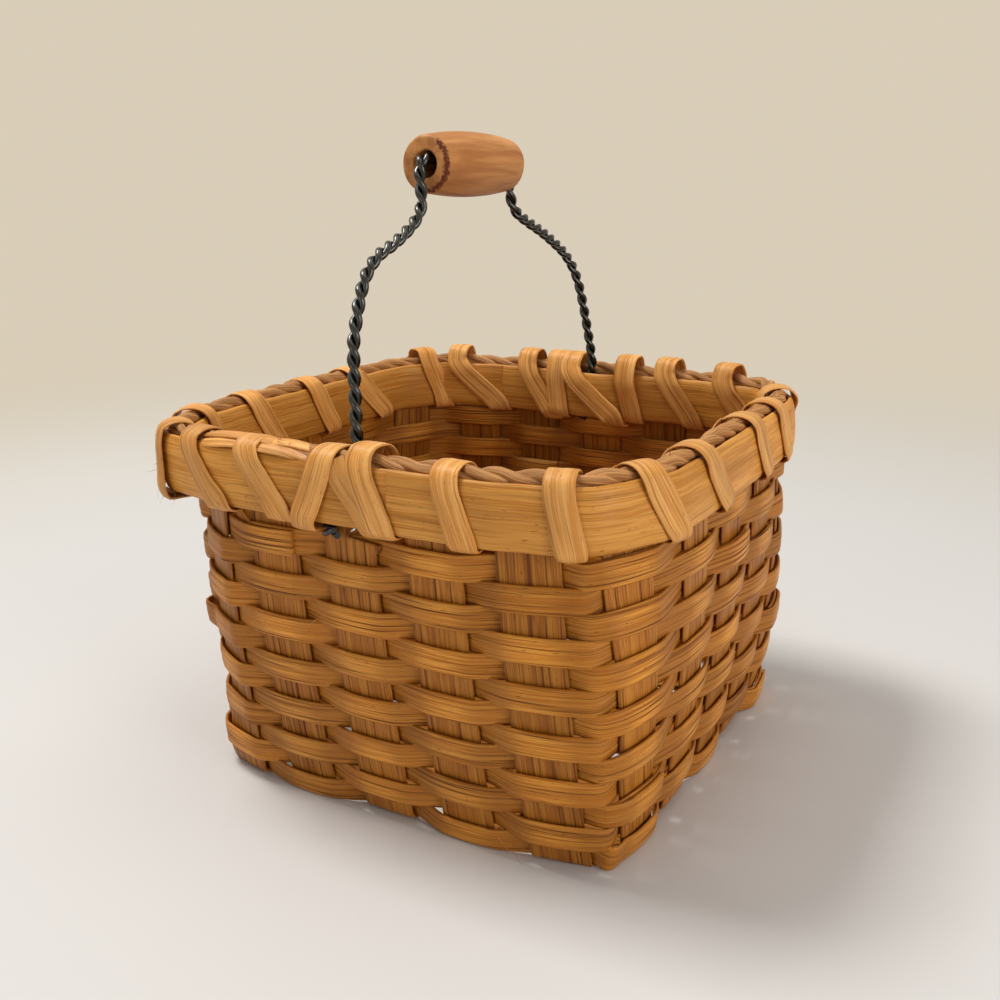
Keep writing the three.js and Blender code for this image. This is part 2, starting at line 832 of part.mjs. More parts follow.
// The origin goes under the middle of the whole part.
const bounds = new THREE.Box3().setFromObject(basket);
basket.position.set(-(bounds.min.x + bounds.max.x) / 2, -(bounds.min.y + bounds.max.y) / 2, 0);
console.log("part moved by", basket.position.x.toFixed(3), basket.position.y.toFixed(3));

export default basket;
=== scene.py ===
"""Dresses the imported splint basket: split wood, rush, lashing, twisted wire and a turned grip."""

import math

import bmesh
import bpy
import numpy as np
from bpy.props import FloatProperty, FloatVectorProperty, IntProperty, PointerProperty
from mathutils import Matrix, Vector


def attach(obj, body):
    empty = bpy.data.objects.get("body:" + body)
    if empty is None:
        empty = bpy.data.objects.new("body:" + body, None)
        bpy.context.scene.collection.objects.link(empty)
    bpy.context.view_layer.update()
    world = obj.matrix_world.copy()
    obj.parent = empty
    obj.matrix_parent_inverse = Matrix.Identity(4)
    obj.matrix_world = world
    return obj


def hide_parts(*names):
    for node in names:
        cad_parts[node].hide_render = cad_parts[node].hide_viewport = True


bl_info = {
    "name": "Splint basket",
    "version": (1, 0, 0),
    "blender": (4, 5, 0),
    "location": "3D View > Sidebar > Basket",
    "description": "Dresses a packed splint basket in split wood, rush, wire and a turned grip",
    "category": "Object",
}

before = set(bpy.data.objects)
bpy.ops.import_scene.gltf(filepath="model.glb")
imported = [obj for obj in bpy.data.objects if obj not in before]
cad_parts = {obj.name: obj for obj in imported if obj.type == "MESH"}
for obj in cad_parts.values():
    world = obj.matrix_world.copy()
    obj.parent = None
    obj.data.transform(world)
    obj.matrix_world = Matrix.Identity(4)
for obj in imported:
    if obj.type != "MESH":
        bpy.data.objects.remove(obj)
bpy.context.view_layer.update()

# Places and sizes of the pieces are millimetres. Meshes, node inputs and the stage are in metres.
MM = 0.001

# The wall's plan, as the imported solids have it
OFFSET = np.array([-0.115, -0.175, 0.0])
RIM_TOP = 82.6
RIM_BOTTOM = 69.6
RIM_MIDDLE = (RIM_TOP + RIM_BOTTOM) / 2
RIM_ROW_Z = 74.7
BASE_HALF = (52.4, 54.8)
TOP_HALF = (59.4, 60.0)
BELLY = 2.6
BASE_SQUARENESS = 8.0
TOP_SQUARENESS = 4.8
SQUARE_TO = 60.0
LEAN = (2.4, 1.9)
FRONT = 5
SIDE = 5
UPRIGHTS = 2 * (FRONT + SIDE)
FRONT_PITCH = (20.96, 19.7)
SIDE_PITCH = (19.87, 23.7)
NEAR = (FRONT - 1) // 2
FAR = UPRIGHTS // 2 + NEAR
CORNERS = (FRONT - 1, FRONT + SIDE - 1, 2 * FRONT + SIDE - 1, UPRIGHTS - 1)
STAKE_TOP = 80.8
FOLD = 1.2
NOTCH = 66.3
ROWS = 13
ROW_PITCH = 5.07
FIRST_ROW = 2.9
WIRE_IN = 2.1

# How far the inner side of the rim stands off for the wire, over what run, and how it fades
BULGE = 1.8
BULGE_FLAT = 5.2
BULGE_FADE = 5.3

# Places, clearances and thicknesses that the dressing's own shapes use
LAYER_GAP = 0.3
CROSSING_EASE = 0.35
FLAT_SHORT = 6.5
SPLINT_CROWN = 0.12
FLAT_CROWN = 0.05
WEAVER_GAP = 0.12
ROW_OVERLAP = 1.7
LOW_ROW_TALL = 2.6
LOW_ROW_TUCK = 2.9
LAST_ROW_RISE = 5.0
SLACK_ROW = 8
SLACK_ROW_OUT = 2.0
BAND_IN = 1.95
BAND_OVERLAP = 17.0
RIM_ROW_HALF = 4.5
RIM_ROW_THICK = 0.8
RIM_ROW_OFF = 1.15
CORNER_REACH = 0.5
RUSH_Z = 82.7
RUSH_GAP = 12.0
LASH_LOW = 68.95
LASH_STAND = 4.45
LASH_TOP = 85.0
LASH_LAYER = 0.75
LASH_SLACK = 2.3
DOUBLED_RISE = 1.2
HOOK_TURN = 2.0
WIRE_TWIST = 0.68
GRIP_ROUND = 0.75

# The handle's route
HOOK_X = -4.6
HOOK_Z = 67.9
LEG_TOP = 84.0
LEG_X = (1.75, -1.05)
GRIP_X = -5.3
GRIP_ENDS = (-20.3, 14.2)
GRIP_Z = 139.0
WIRE_Z = 140.4
BORE = 3.05


def tone(red, green, blue):
    """A colour as it looks on screen, 0 to 255, as Blender's linear colour."""
    return tuple(((c / 255) ** 2.2) for c in (red, green, blue)) + (1.0,)


def length(name, millimetres, description):
    return FloatProperty(
        name=name,
        description=description,
        default=millimetres * MM,
        min=0.0,
        unit="LENGTH",
        subtype="DISTANCE",
        precision=5,
    )


def colour(name, screen, description):
    return FloatVectorProperty(
        name=name,
        description=description,
        default=tone(*screen),
        size=4,
        min=0.0,
        max=1.0,
        subtype="COLOR",
    )


class BasketSizes(bpy.types.PropertyGroup):
    """Sizes of the strips, cords and wires."""

    upright_width: length("Upright width", 12.7, "Width of the long and cross splints")
    upright_thick: length("Upright thickness", 0.9, "Thickness of the splints")
    weaver_height: length("Weaver height", 5.65, "Height of a weaver where it passes over an upright")
    weaver_tuck: length("Tucked height", 5.8, "Height of a weaver behind an upright")
    weaver_thick: length("Weaver thickness", 0.85, "Thickness of a weaver at its edges")
    weaver_crown: length("Weaver crown", 0.2, "How far a weaver's face bulges")
    weaver_bow: length("Weaver bow", 0.42, "How far a weaver stands off at an upright's middle")
    band_thick: length("Band thickness", 1.7, "Thickness of the rim bands at their edges")
    band_crown: length("Band crown", 0.4, "How far the rim bands' outer face bulges")
    lash_width: length("Lashing width", 6.1, "Width of the lashing splint")
    lash_thick: length("Lashing thickness", 0.55, "Thickness of the lashing splint")
    rush_ply: length("Rush ply radius", 1.12, "Radius of one ply of the twisted rush")
    rush_pitch: length("Rush pitch", 21.0, "Length of one whole turn of the rush")
    wire_strand: length("Wire radius", 0.7, "Radius of one wire of the handle")
    wire_pitch: length("Wire pitch", 7.4, "Length of one whole turn of the twisted wires")
    grip_middle: length("Grip radius", 7.2, "Radius of the grip at its middle")
    grip_end: length("Grip end radius", 6.1, "Radius of the grip at its ends")
    seed: IntProperty(name="Seed", description="Seed of all small irregularities", default=7, min=0)


class BasketColours(bpy.types.PropertyGroup):
    """Colours of the wood, rush, wire, grip and stage."""

    upright_light: colour("Upright light", (182, 119, 44), "Lightest grain of the uprights")
    upright_mid: colour("Upright middle", (153, 89, 27), "Main colour of the uprights")
    weaver_light: colour("Weaver light", (222, 151, 62), "Lightest grain of the weavers")
    weaver_mid: colour("Weaver middle", (188, 115, 37), "Main colour of the weavers")
    splint_dark: colour("Splint dark", (86, 40, 12), "Grain lines of the uprights and weavers")
    band_light: colour("Band light", (222, 156, 74), "Lightest grain of the rim bands")
    band_mid: colour("Band middle", (194, 125, 48), "Main colour of the rim bands")
    lash_light: colour("Lashing light", (234, 172, 98), "Lightest grain of the lashing")
    lash_mid: colour("Lashing middle", (208, 139, 66), "Main colour of the lashing")
    rim_dark: colour("Rim dark", (124, 72, 28), "Grain lines of the rim bands and lashing")
    rush_light: colour("Rush light", (214, 156, 90), "Light fibres of the rush")
    rush_dark: colour("Rush dark", (142, 86, 42), "Hollows of the rush")
    lint: colour("Lint", (104, 106, 84), "Lint caught on the rim")
    frayed: colour("Frayed fibre", (196, 134, 70), "Loose fibres")
    wire: colour("Wire", (13, 16, 13), "The wire's dark coating")
    grip_light: colour("Grip light", (203, 140, 80), "Light grain of the grip")
    grip_dark: colour("Grip dark", (168, 106, 56), "Dark grain of the grip")
    # Painted shade: the colour blended over the grip's underside.
    grip_underside_shade: colour("Grip underside shade", (96, 56, 30), "The grip's darker underside")
    char: colour("Char", (100, 46, 26), "Scorched ring at the grip's ends")
    floor: colour("Floor", (212, 210, 207), "The floor")
    backdrop: colour("Backdrop", (216, 204, 183), "What the camera sees behind the floor")


def sizes():
    return bpy.context.scene.basket_sizes


def colours():
    return bpy.context.scene.basket_colours


def mm(name):
    """One of the sizes, in millimetres."""
    return getattr(sizes(), name) / MM


# Places on the wall


def mix(a, b, t):
    return a + (b - a) * t


def smooth(t):
    t = min(1.0, max(0.0, t))
    return t * t * (3 - 2 * t)


def unit(v):
    return v / max(np.linalg.norm(v), 1e-12)


# How far some uprights by the corners stand from their even places: by x, by y and turned
NUDGES = {
    0: (1.0, 1.7, -0.31),
    FRONT: (-0.5, -3.2, 0.0),
    UPRIGHTS - 1: (3.8, 0.3, 0.17),
    UPRIGHTS - 2: (2.0, 0.0, 0.0),
}
# They stray more and more up to the first height, and come back over a short way from the second.
STRAY_FROM = 25
STRAY_UNTIL = 66
STRAY_BACK = 9


def wall_point(k, z):
    """Where upright k meets height z, and the level direction out of the wall there."""
    t = z / RIM_TOP
    swell = BELLY * 4 * t * (1 - t)
    half_x = mix(BASE_HALF[0], TOP_HALF[0], t) + swell
    half_y = mix(BASE_HALF[1], TOP_HALF[1], t) + swell
    n = mix(BASE_SQUARENESS, TOP_SQUARENESS, min(1.0, max(0.0, z / SQUARE_TO)))
    turn = 1 if k < UPRIGHTS // 2 else -1
    place = k % (UPRIGHTS // 2)
    if place < FRONT:
        x = (place - (FRONT - 1) / 2) * mix(*FRONT_PITCH, t)
        y = -half_y * (1 - abs(x / half_x) ** n) ** (1 / n)
    else:
        y = (place - FRONT - (SIDE - 1) / 2) * mix(*SIDE_PITCH, t)
        x = half_x * (1 - abs(y / half_y) ** n) ** (1 / n)
    slope = [
        math.copysign(abs(x / half_x) ** (n - 1), x) / half_x,
        math.copysign(abs(y / half_y) ** (n - 1), y) / half_y,
    ]
    lean = 1 - z / RIM_MIDDLE
    at = np.array([turn * x + LEAN[0] * lean, turn * y + LEAN[1] * lean, z]) + OFFSET
    outward = unit(np.array([turn * slope[0], turn * slope[1], 0.0]))
    if k in NUDGES:
        share = smooth(z / STRAY_FROM) * (1 - smooth((z - STRAY_UNTIL) / STRAY_BACK))
        dx, dy, angle = (value * share for value in NUDGES[k])
        at += np.array([dx, dy, 0.0])
        c, s = math.cos(angle), math.sin(angle)
        x, y, _ = outward
        outward = np.array([c * x - s * y, s * x + c * y, 0.0])
    return at, outward


def face_of(k, z):
    """The flat face of upright k at height z: its middle, along the wall, out of it and up it."""
    k = k % UPRIGHTS
    at, outward = wall_point(k, z)
    along = np.array([-outward[1], outward[0], 0.0])
    rise = wall_point(k, z + 1)[0] - wall_point(k, z - 1)[0]
    out = unit(np.cross(along, rise))
    return at, along, out, np.cross(out, along)


def corner(k, z, reach):
    """The rounded corner between upright k and the next, and the direction out of it."""
    here, there = face_of(k, z), face_of(k + 1, z)
    start = here[0] + here[1] * reach
    end = there[0] - there[1] * reach
    turn = math.acos(min(1.0, here[1].dot(there[1])))
    out = unit(here[2] + there[2])
    push = np.linalg.norm(end - start) / 2 * math.tan(turn / 4)
    return (start + end) / 2 + out * push, out


# Smooth paths


def follow(rows, step, closed=False):
    """A smooth path through rows whose first three numbers are a place; the rest go with it."""
    rows = np.asarray(rows, float)
    if closed:
        rows = np.vstack([rows[-1], rows, rows[0], rows[1]])
    else:
        rows = np.vstack([2 * rows[0] - rows[1], rows, 2 * rows[-1] - rows[-2]])
    dense = []
    for i in range(1, len(rows) - 2):
        p = rows[i - 1 : i + 3]
        gaps = np.maximum(np.linalg.norm(np.diff(p[:, :3], axis=0), axis=1), 1e-4) ** 0.5
        knot = np.concatenate([[0.0], np.cumsum(gaps)])
        count = max(2, int(np.linalg.norm(p[2, :3] - p[1, :3]) / step * 2))
        t = np.linspace(knot[1], knot[2], count, endpoint=False)[:, None]

        def lerp(a, b, i0, i1):
            gap = knot[i1] - knot[i0]
            return a * (knot[i1] - t) / gap + b * (t - knot[i0]) / gap

        a1, a2, a3 = (lerp(p[n], p[n + 1], n, n + 1) for n in range(3))
        b1, b2 = lerp(a1, a2, 0, 2), lerp(a2, a3, 1, 3)
        dense.append(lerp(b1, b2, 1, 2))
    dense = np.vstack([*dense, rows[-2][None]])
    run = np.concatenate([[0.0], np.cumsum(np.linalg.norm(np.diff(dense[:, :3], axis=0), axis=1))])
    count = max(3, int(round(run[-1] / step)) + 1)
    even = np.linspace(0, run[-1], count)
    return np.stack([np.interp(even, run, dense[:, c]) for c in range(dense.shape[1])], axis=1), even


CHANNELS = ("lo", "hi", "thick", "crown", "tuck")


def rail(rows, step, seed=0.0, start=0.0):
    """One path for a sweep. Each row: place, facing, lower and upper edge, thickness, crown, tuck."""
    path, run = follow(rows, step)
    place, facing = path[:, :3], path[:, 3:6]
    tangent = np.gradient(place, axis=0)
    tangent /= np.linalg.norm(tangent, axis=1)[:, None]
    facing = facing - tangent * np.sum(facing * tangent, axis=1)[:, None]
    facing /= np.linalg.norm(facing, axis=1)[:, None]
    data = {"place": place, "face": facing, "side": np.cross(facing, tangent)}
    data.update({name: path[:, 6 + i] for i, name in enumerate(CHANNELS)})
    data["along"] = run + start
    data["seed"] = np.full(len(run), float(seed))
    return data


def add_object(name, data):
    made = bpy.data.objects.new(name, data)
    bpy.context.scene.collection.objects.link(made)
    return made


def write(mesh, name, values, kind="FLOAT"):
    """Stores one value, or one vector, for each vertex of a mesh."""
    layer = mesh.attributes.new(name, kind, "POINT")
    key = "value" if kind == "FLOAT" else "vector"
    layer.data.foreach_set(key, np.asarray(values, np.float32).ravel())


def path_object(name, rails):
    """An object of loose edges that carries the rails' places and attributes, in metres."""
    mesh = bpy.data.meshes.new(name)
    places = np.vstack([r["place"] for r in rails]) * MM
    edges, base = [], 0
    for r in rails:
        count = len(r["place"])
        edges += [(base + i, base + i + 1) for i in range(count - 1)]
        base += count
    mesh.from_pydata([tuple(p) for p in places], edges, [])
    for key in ("face", "side"):
        write(mesh, key, np.vstack([r[key] for r in rails]), "FLOAT_VECTOR")
    for key in (*CHANNELS, "along", "seed"):
        scale = 1.0 if key in ("tuck", "seed") else MM
        write(mesh, key, np.concatenate([r[key] for r in rails]) * scale)
    return add_object(name, mesh)


# Node trees


def put(tree, kind, inputs=None, out=0, **settings):
    """Adds a node, sets or links its inputs by number, and returns one of its outputs."""
    node = tree.nodes.new(kind)
    for key, value in settings.items():
        setattr(node, key, value)
    for i, value in (inputs or {}).items():
        if isinstance(value, bpy.types.NodeSocket):
            tree.links.new(value, node.inputs[i])
        elif value is not None:
            node.inputs[i].default_value = value
    return node.outputs[out] if out is not None else node


def calc(tree, operation, a, b=None, c=None):
    return put(tree, "ShaderNodeMath", {0: a, 1: b, 2: c}, operation=operation)


def mul(tree, a, b):
    return calc(tree, "MULTIPLY", a, b)


def mul_add(tree, a, b, c):
    return calc(tree, "MULTIPLY_ADD", a, b, c)


def vec(tree, operation, a, b=None):
    return put(tree, "ShaderNodeVectorMath", {0: a, 1: b}, operation=operation)


def times(tree, vector, factor):
    return put(tree, "ShaderNodeVectorMath", {0: vector, 3: factor}, operation="SCALE")


def xyz(tree, x, y, z):
    return put(tree, "ShaderNodeCombineXYZ", {0: x, 1: y, 2: z})


def split(tree, vector):
    return put(tree, "ShaderNodeSeparateXYZ", {0: vector}, out=None).outputs


def noise(tree, vector, scale=1.0, detail=2.0, rough=0.5):
    return put(tree, "ShaderNodeTexNoise", {0: vector, 2: scale, 3: detail, 4: rough})


def ramp(tree, value, low, high, start=0.0, end=1.0):
    """Smooth step from start to end as value goes from low to high."""
    inputs = {0: value, 1: low, 2: high, 3: start, 4: end}
    return put(tree, "ShaderNodeMapRange", inputs, interpolation_type="SMOOTHSTEP")


def blend(tree, factor, a, b):
    return put(tree, "ShaderNodeMix", {0: factor, 6: a, 7: b}, out=2, data_type="RGBA")


def carried(tree, name, out=1):
    """An attribute that the mesh carries into a material: 1 as a vector, 2 as a number."""
    return put(tree, "ShaderNodeAttribute", out=out, attribute_name=name)


def bump(tree, strength, depth, height):
    return put(tree, "ShaderNodeBump", {0: strength, 1: depth, 3: height})


def new_group(name, kind, inputs, outputs):
    """A node group with its named sockets. Each input: name, type, default."""
    tree = bpy.data.node_groups.new(name, kind)
    for label, socket_type, default in inputs:
        made = tree.interface.new_socket(label, in_out="INPUT", socket_type=socket_type)
        if default is not None:
            made.default_value = default
    for label, socket_type in outputs:
        tree.interface.new_socket(label, in_out="OUTPUT", socket_type=socket_type)
    start = tree.nodes.new("NodeGroupInput")
    end = tree.nodes.new("NodeGroupOutput")
    given = {socket.name: socket for socket in start.outputs if socket.name}
    return tree, given, end


def named(tree, name, kind="FLOAT"):
    return put(tree, "GeometryNodeInputNamedAttribute", {0: name}, data_type=kind)


def vector_of(tree, name):
    return named(tree, name, "FLOAT_VECTOR")


def store(tree, geometry, name, value, kind="FLOAT"):
    inputs = {0: geometry, 2: name, 3: value}
    return put(tree, "GeometryNodeStoreNamedAttribute", inputs, data_type=kind, domain="POINT")


def finish_tree(tree, end, geometry, material):
    geometry = put(tree, "GeometryNodeSetShadeSmooth", {0: geometry, 2: True})
    geometry = put(tree, "GeometryNodeRealizeInstances", {0: geometry})
    geometry = put(tree, "GeometryNodeSetMaterial", {0: geometry, 2: material})
    tree.links.new(geometry, end.inputs[0])


def shared_tree(name, maker):
    """The node group of that name, made the first time that it is asked for."""
    return bpy.data.node_groups.get(name) or maker(name)


def splint_tree(name):
    """Sweeps a strip along a path: its edges, thickness and crown come from the path."""
    tree, given, end = new_group(
        name,
        "GeometryNodeTree",
        [
            ("Path", "NodeSocketGeometry", None),
            ("Outline Points", "NodeSocketInt", 26),
            ("Edge Taper", "NodeSocketFloat", 0.4),
            ("Ridge Depth", "NodeSocketFloat", 0.00012),
            ("Ridges Across", "NodeSocketFloat", 700.0),
            ("Material", "NodeSocketMaterial", None),
        ],
        [("Geometry", "NodeSocketGeometry")],
    )
    curve = put(tree, "GeometryNodeMeshToCurve", {0: given["Path"]})
    position = put(tree, "GeometryNodeInputPosition")
    curve = store(tree, curve, "spine", position, "FLOAT_VECTOR")
    outline = put(tree, "GeometryNodeCurvePrimitiveQuadrilateral", {0: 2.0, 1: 12.0}, mode="RECTANGLE")
    outline = put(tree, "GeometryNodeResampleCurve", {0: outline, 2: given["Outline Points"]}, mode="COUNT")
    x, y, _ = split(tree, position)
    outline = store(tree, outline, "through", x)
    outline = store(tree, outline, "across", calc(tree, "DIVIDE", y, 6.0))
    swept = put(tree, "GeometryNodeCurveToMesh", {0: curve, 1: outline, 3: True})
    across, through = named(tree, "across"), named(tree, "through")
    near_edge = calc(tree, "POWER", calc(tree, "ABSOLUTE", across), 6.0)
    # The side faces are rounded, and the strip thins towards its edges.
    round_in = mul(tree, mul(tree, through, through), near_edge)
    squeeze = mul_add(tree, round_in, -0.05, 1.0)
    share = mul_add(tree, mul(tree, across, squeeze), 0.5, 0.5)
    lo, hi = named(tree, "lo"), named(tree, "hi")
    lateral = calc(tree, "ADD", lo, mul(tree, calc(tree, "SUBTRACT", hi, lo), share))
    taper = calc(tree, "SUBTRACT", 1.0, mul(tree, near_edge, given["Edge Taper"]))
    half = mul(tree, mul(tree, named(tree, "thick"), 0.5), through)
    height = mul(tree, half, taper)
    dome = calc(tree, "SUBTRACT", 1.0, mul(tree, across, across))
    height = mul_add(tree, named(tree, "crown"), dome, height)
    along, seed = named(tree, "along"), named(tree, "seed")
    grain = xyz(tree, along, lateral, seed)
    ridge_at = xyz(
        tree,
        mul(tree, along, 25.0),
        mul(tree, lateral, given["Ridges Across"]),
        mul(tree, seed, 17.3),
    )
    ridge = calc(tree, "SUBTRACT", noise(tree, ridge_at, 1.0, 2.0), 0.5)
    ridge = mul(tree, mul(tree, ridge, given["Ridge Depth"]), through)
    height = mul_add(tree, ridge, 4.0, height)
    sideways = times(tree, vector_of(tree, "side"), lateral)
    moved = vec(tree, "ADD", vector_of(tree, "spine"), sideways)
    moved = vec(tree, "ADD", moved, times(tree, vector_of(tree, "face"), height))
    swept = store(tree, swept, "grain", grain, "FLOAT_VECTOR")
    # The third value marks where the strip is tucked in. The wood finish paints shade there.
    wear_and_shade = xyz(tree, calc(tree, "ABSOLUTE", across), through, named(tree, "tuck"))
    swept = store(tree, swept, "wear_and_shade", wear_and_shade, "FLOAT_VECTOR")
    swept = put(tree, "GeometryNodeSetPosition", {0: swept, 2: moved})
    finish_tree(tree, end, swept, given["Material"])
    return tree


def cord_tree(name):
    """Lays strands round a path and twists them together."""
    tree, given, end = new_group(
        name,
        "GeometryNodeTree",
        [
            ("Path", "NodeSocketGeometry", None),
            ("Strands", "NodeSocketInt", 2),
            ("Strand Radius", "NodeSocketFloat", 0.00066),
            ("Twist Radius", "NodeSocketFloat", 0.00075),
            ("Pitch", "NodeSocketFloat", 0.0074),
            ("Lumps", "NodeSocketFloat", 0.0),
            ("Sides", "NodeSocketInt", 12),
            ("Phase", "NodeSocketFloat", 0.0),
            ("Material", "NodeSocketMaterial", None),
        ],
        [("Geometry", "NodeSocketGeometry")],
    )
    curve = put(tree, "GeometryNodeMeshToCurve", {0: given["Path"]})
    wanted = {0: curve, 2: given["Strands"]}
    copies = put(tree, "GeometryNodeDuplicateElements", wanted, out=None, domain="SPLINE")
    curve = store(tree, copies.outputs[0], "strand", copies.outputs[1])
    along, seed, strand = named(tree, "along"), named(tree, "seed"), named(tree, "strand")
    lay = calc(tree, "DIVIDE", along, given["Pitch"])
    lay = calc(tree, "ADD", lay, calc(tree, "DIVIDE", strand, given["Strands"]))
    lay = mul_add(tree, lay, 2 * math.pi, given["Phase"])
    lump_at = xyz(tree, mul(tree, along, 130.0), mul(tree, strand, 5.7), seed)
    lump = mul(tree, calc(tree, "SUBTRACT", noise(tree, lump_at), 0.5), given["Lumps"])
    arm = mul(tree, given["Twist Radius"], mul_add(tree, lump, -1.0, 1.0))
    swing = times(tree, vector_of(tree, "side"), mul(tree, calc(tree, "COSINE", lay), arm))
    rise = times(tree, vector_of(tree, "face"), mul(tree, calc(tree, "SINE", lay), arm))
    curve = put(tree, "GeometryNodeSetPosition", {0: curve, 3: vec(tree, "ADD", swing, rise)})
    swell = mul(tree, named(tree, "crown"), mul_add(tree, lump, 1.6, 1.0))
    curve = put(tree, "GeometryNodeSetCurveRadius", {0: curve, 2: calc(tree, "DIVIDE", swell, MM)})
    circle = {0: given["Sides"], 4: given["Strand Radius"]}
    outline = put(tree, "GeometryNodeCurvePrimitiveCircle", circle, mode="RADIUS")
    x, y, _ = split(tree, put(tree, "GeometryNodeInputPosition"))
    outline = store(tree, outline, "ring", xyz(tree, x, y, 0.0), "FLOAT_VECTOR")
    radius = put(tree, "GeometryNodeInputRadius")
    swept = put(tree, "GeometryNodeCurveToMesh", {0: curve, 1: outline, 2: radius, 3: True})
    ring = split(tree, vector_of(tree, "ring"))
    grain = xyz(tree, mul_add(tree, strand, 0.31, along), ring[0], ring[1])
    swept = store(tree, swept, "grain", grain, "FLOAT_VECTOR")
    wear_and_shade = xyz(tree, calc(tree, "COSINE", lay), calc(tree, "SINE", lay), named(tree, "tuck"))
    swept = store(tree, swept, "wear_and_shade", wear_and_shade, "FLOAT_VECTOR")
    finish_tree(tree, end, swept, given["Material"])
    return tree


# What a mesh carries only while it is made
PATH_LAYERS = (*CHANNELS, "along", "seed", "face", "side")
WORKING = (*PATH_LAYERS, "spine", "through", "across", "strand", "ring", "radius")


def grow(name, rails, tree, material, **values):
    """Runs a tree on paths and keeps the result as a plain mesh object at the origin."""
    holder = path_object(name + "_path", rails)
    modifier = holder.modifiers.new("grow", "NODES")
    modifier.node_group = tree
    wanted = {key.replace("_", " "): value for key, value in values.items()}
    wanted["Material"] = material
    for item in tree.interface.items_tree:
        if item.in_out == "INPUT" and item.name in wanted:
            modifier[item.identifier] = wanted.pop(item.name)
    if wanted:
        raise RuntimeError(f"{tree.name} has no input named {sorted(wanted)}")
    graph = bpy.context.evaluated_depsgraph_get()
    grown = holder.evaluated_get(graph)
    mesh = bpy.data.meshes.new_from_object(grown, preserve_all_data_layers=True, depsgraph=graph)
    mesh.name = name
    if not mesh.polygons:
        raise RuntimeError(f"{name} came out empty")
    for layer in [a.name for a in mesh.attributes]:
        if layer in WORKING:
            mesh.attributes.remove(mesh.attributes[layer])
    face_outward(mesh)
    bpy.data.objects.remove(holder)
    return add_object(name, mesh)


def face_outward(mesh):
    work = bmesh.new()
    work.from_mesh(mesh)
    bmesh.ops.recalc_face_normals(work, faces=work.faces)
    work.to_mesh(mesh)
    work.free()


def settle(piece, body, *nodes):
    """Puts a finished piece on its body, standing for its CAD nodes."""
    if nodes:
        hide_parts(*nodes)
    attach(piece, body)


def add_splint(name, rails, material, look, *nodes):
    """Sweeps strips along rails and puts them on the basket."""
    tree = shared_tree("Splint along a path", splint_tree)
    settle(grow(name, rails, tree, material, **look), "basket", *nodes)


def add_cord(name, rails, material, look, body, *nodes):
    """Twists strands round rails and puts them on a body."""
    tree = shared_tree("Twisted strands", cord_tree)
    settle(grow(name, rails, tree, material, **look), body, *nodes)


def strip(points, taper, depth, across):
    """How a strip's outline is drawn and how its face is ridged."""
    return {"Outline_Points": points, "Edge_Taper": taper, "Ridge_Depth": depth, "Ridges_Across": across}


UPRIGHT_STRIP = strip(44, 0.25, 0.00003, 1500.0)
WEAVER_STRIP = strip(32, 0.2, 0.00009, 1300.0)
BAND_STRIP = strip(48, 0.35, 0.00005, 420.0)
RIM_ROW_STRIP = strip(20, 0.3, 0.00003, 900.0)
SPLIT_STRIP = strip(20, 0.4, 0.0001, 1100.0)
LASH_STRIP = strip(26, 0.3, 0.00004, 800.0)


# Finishes


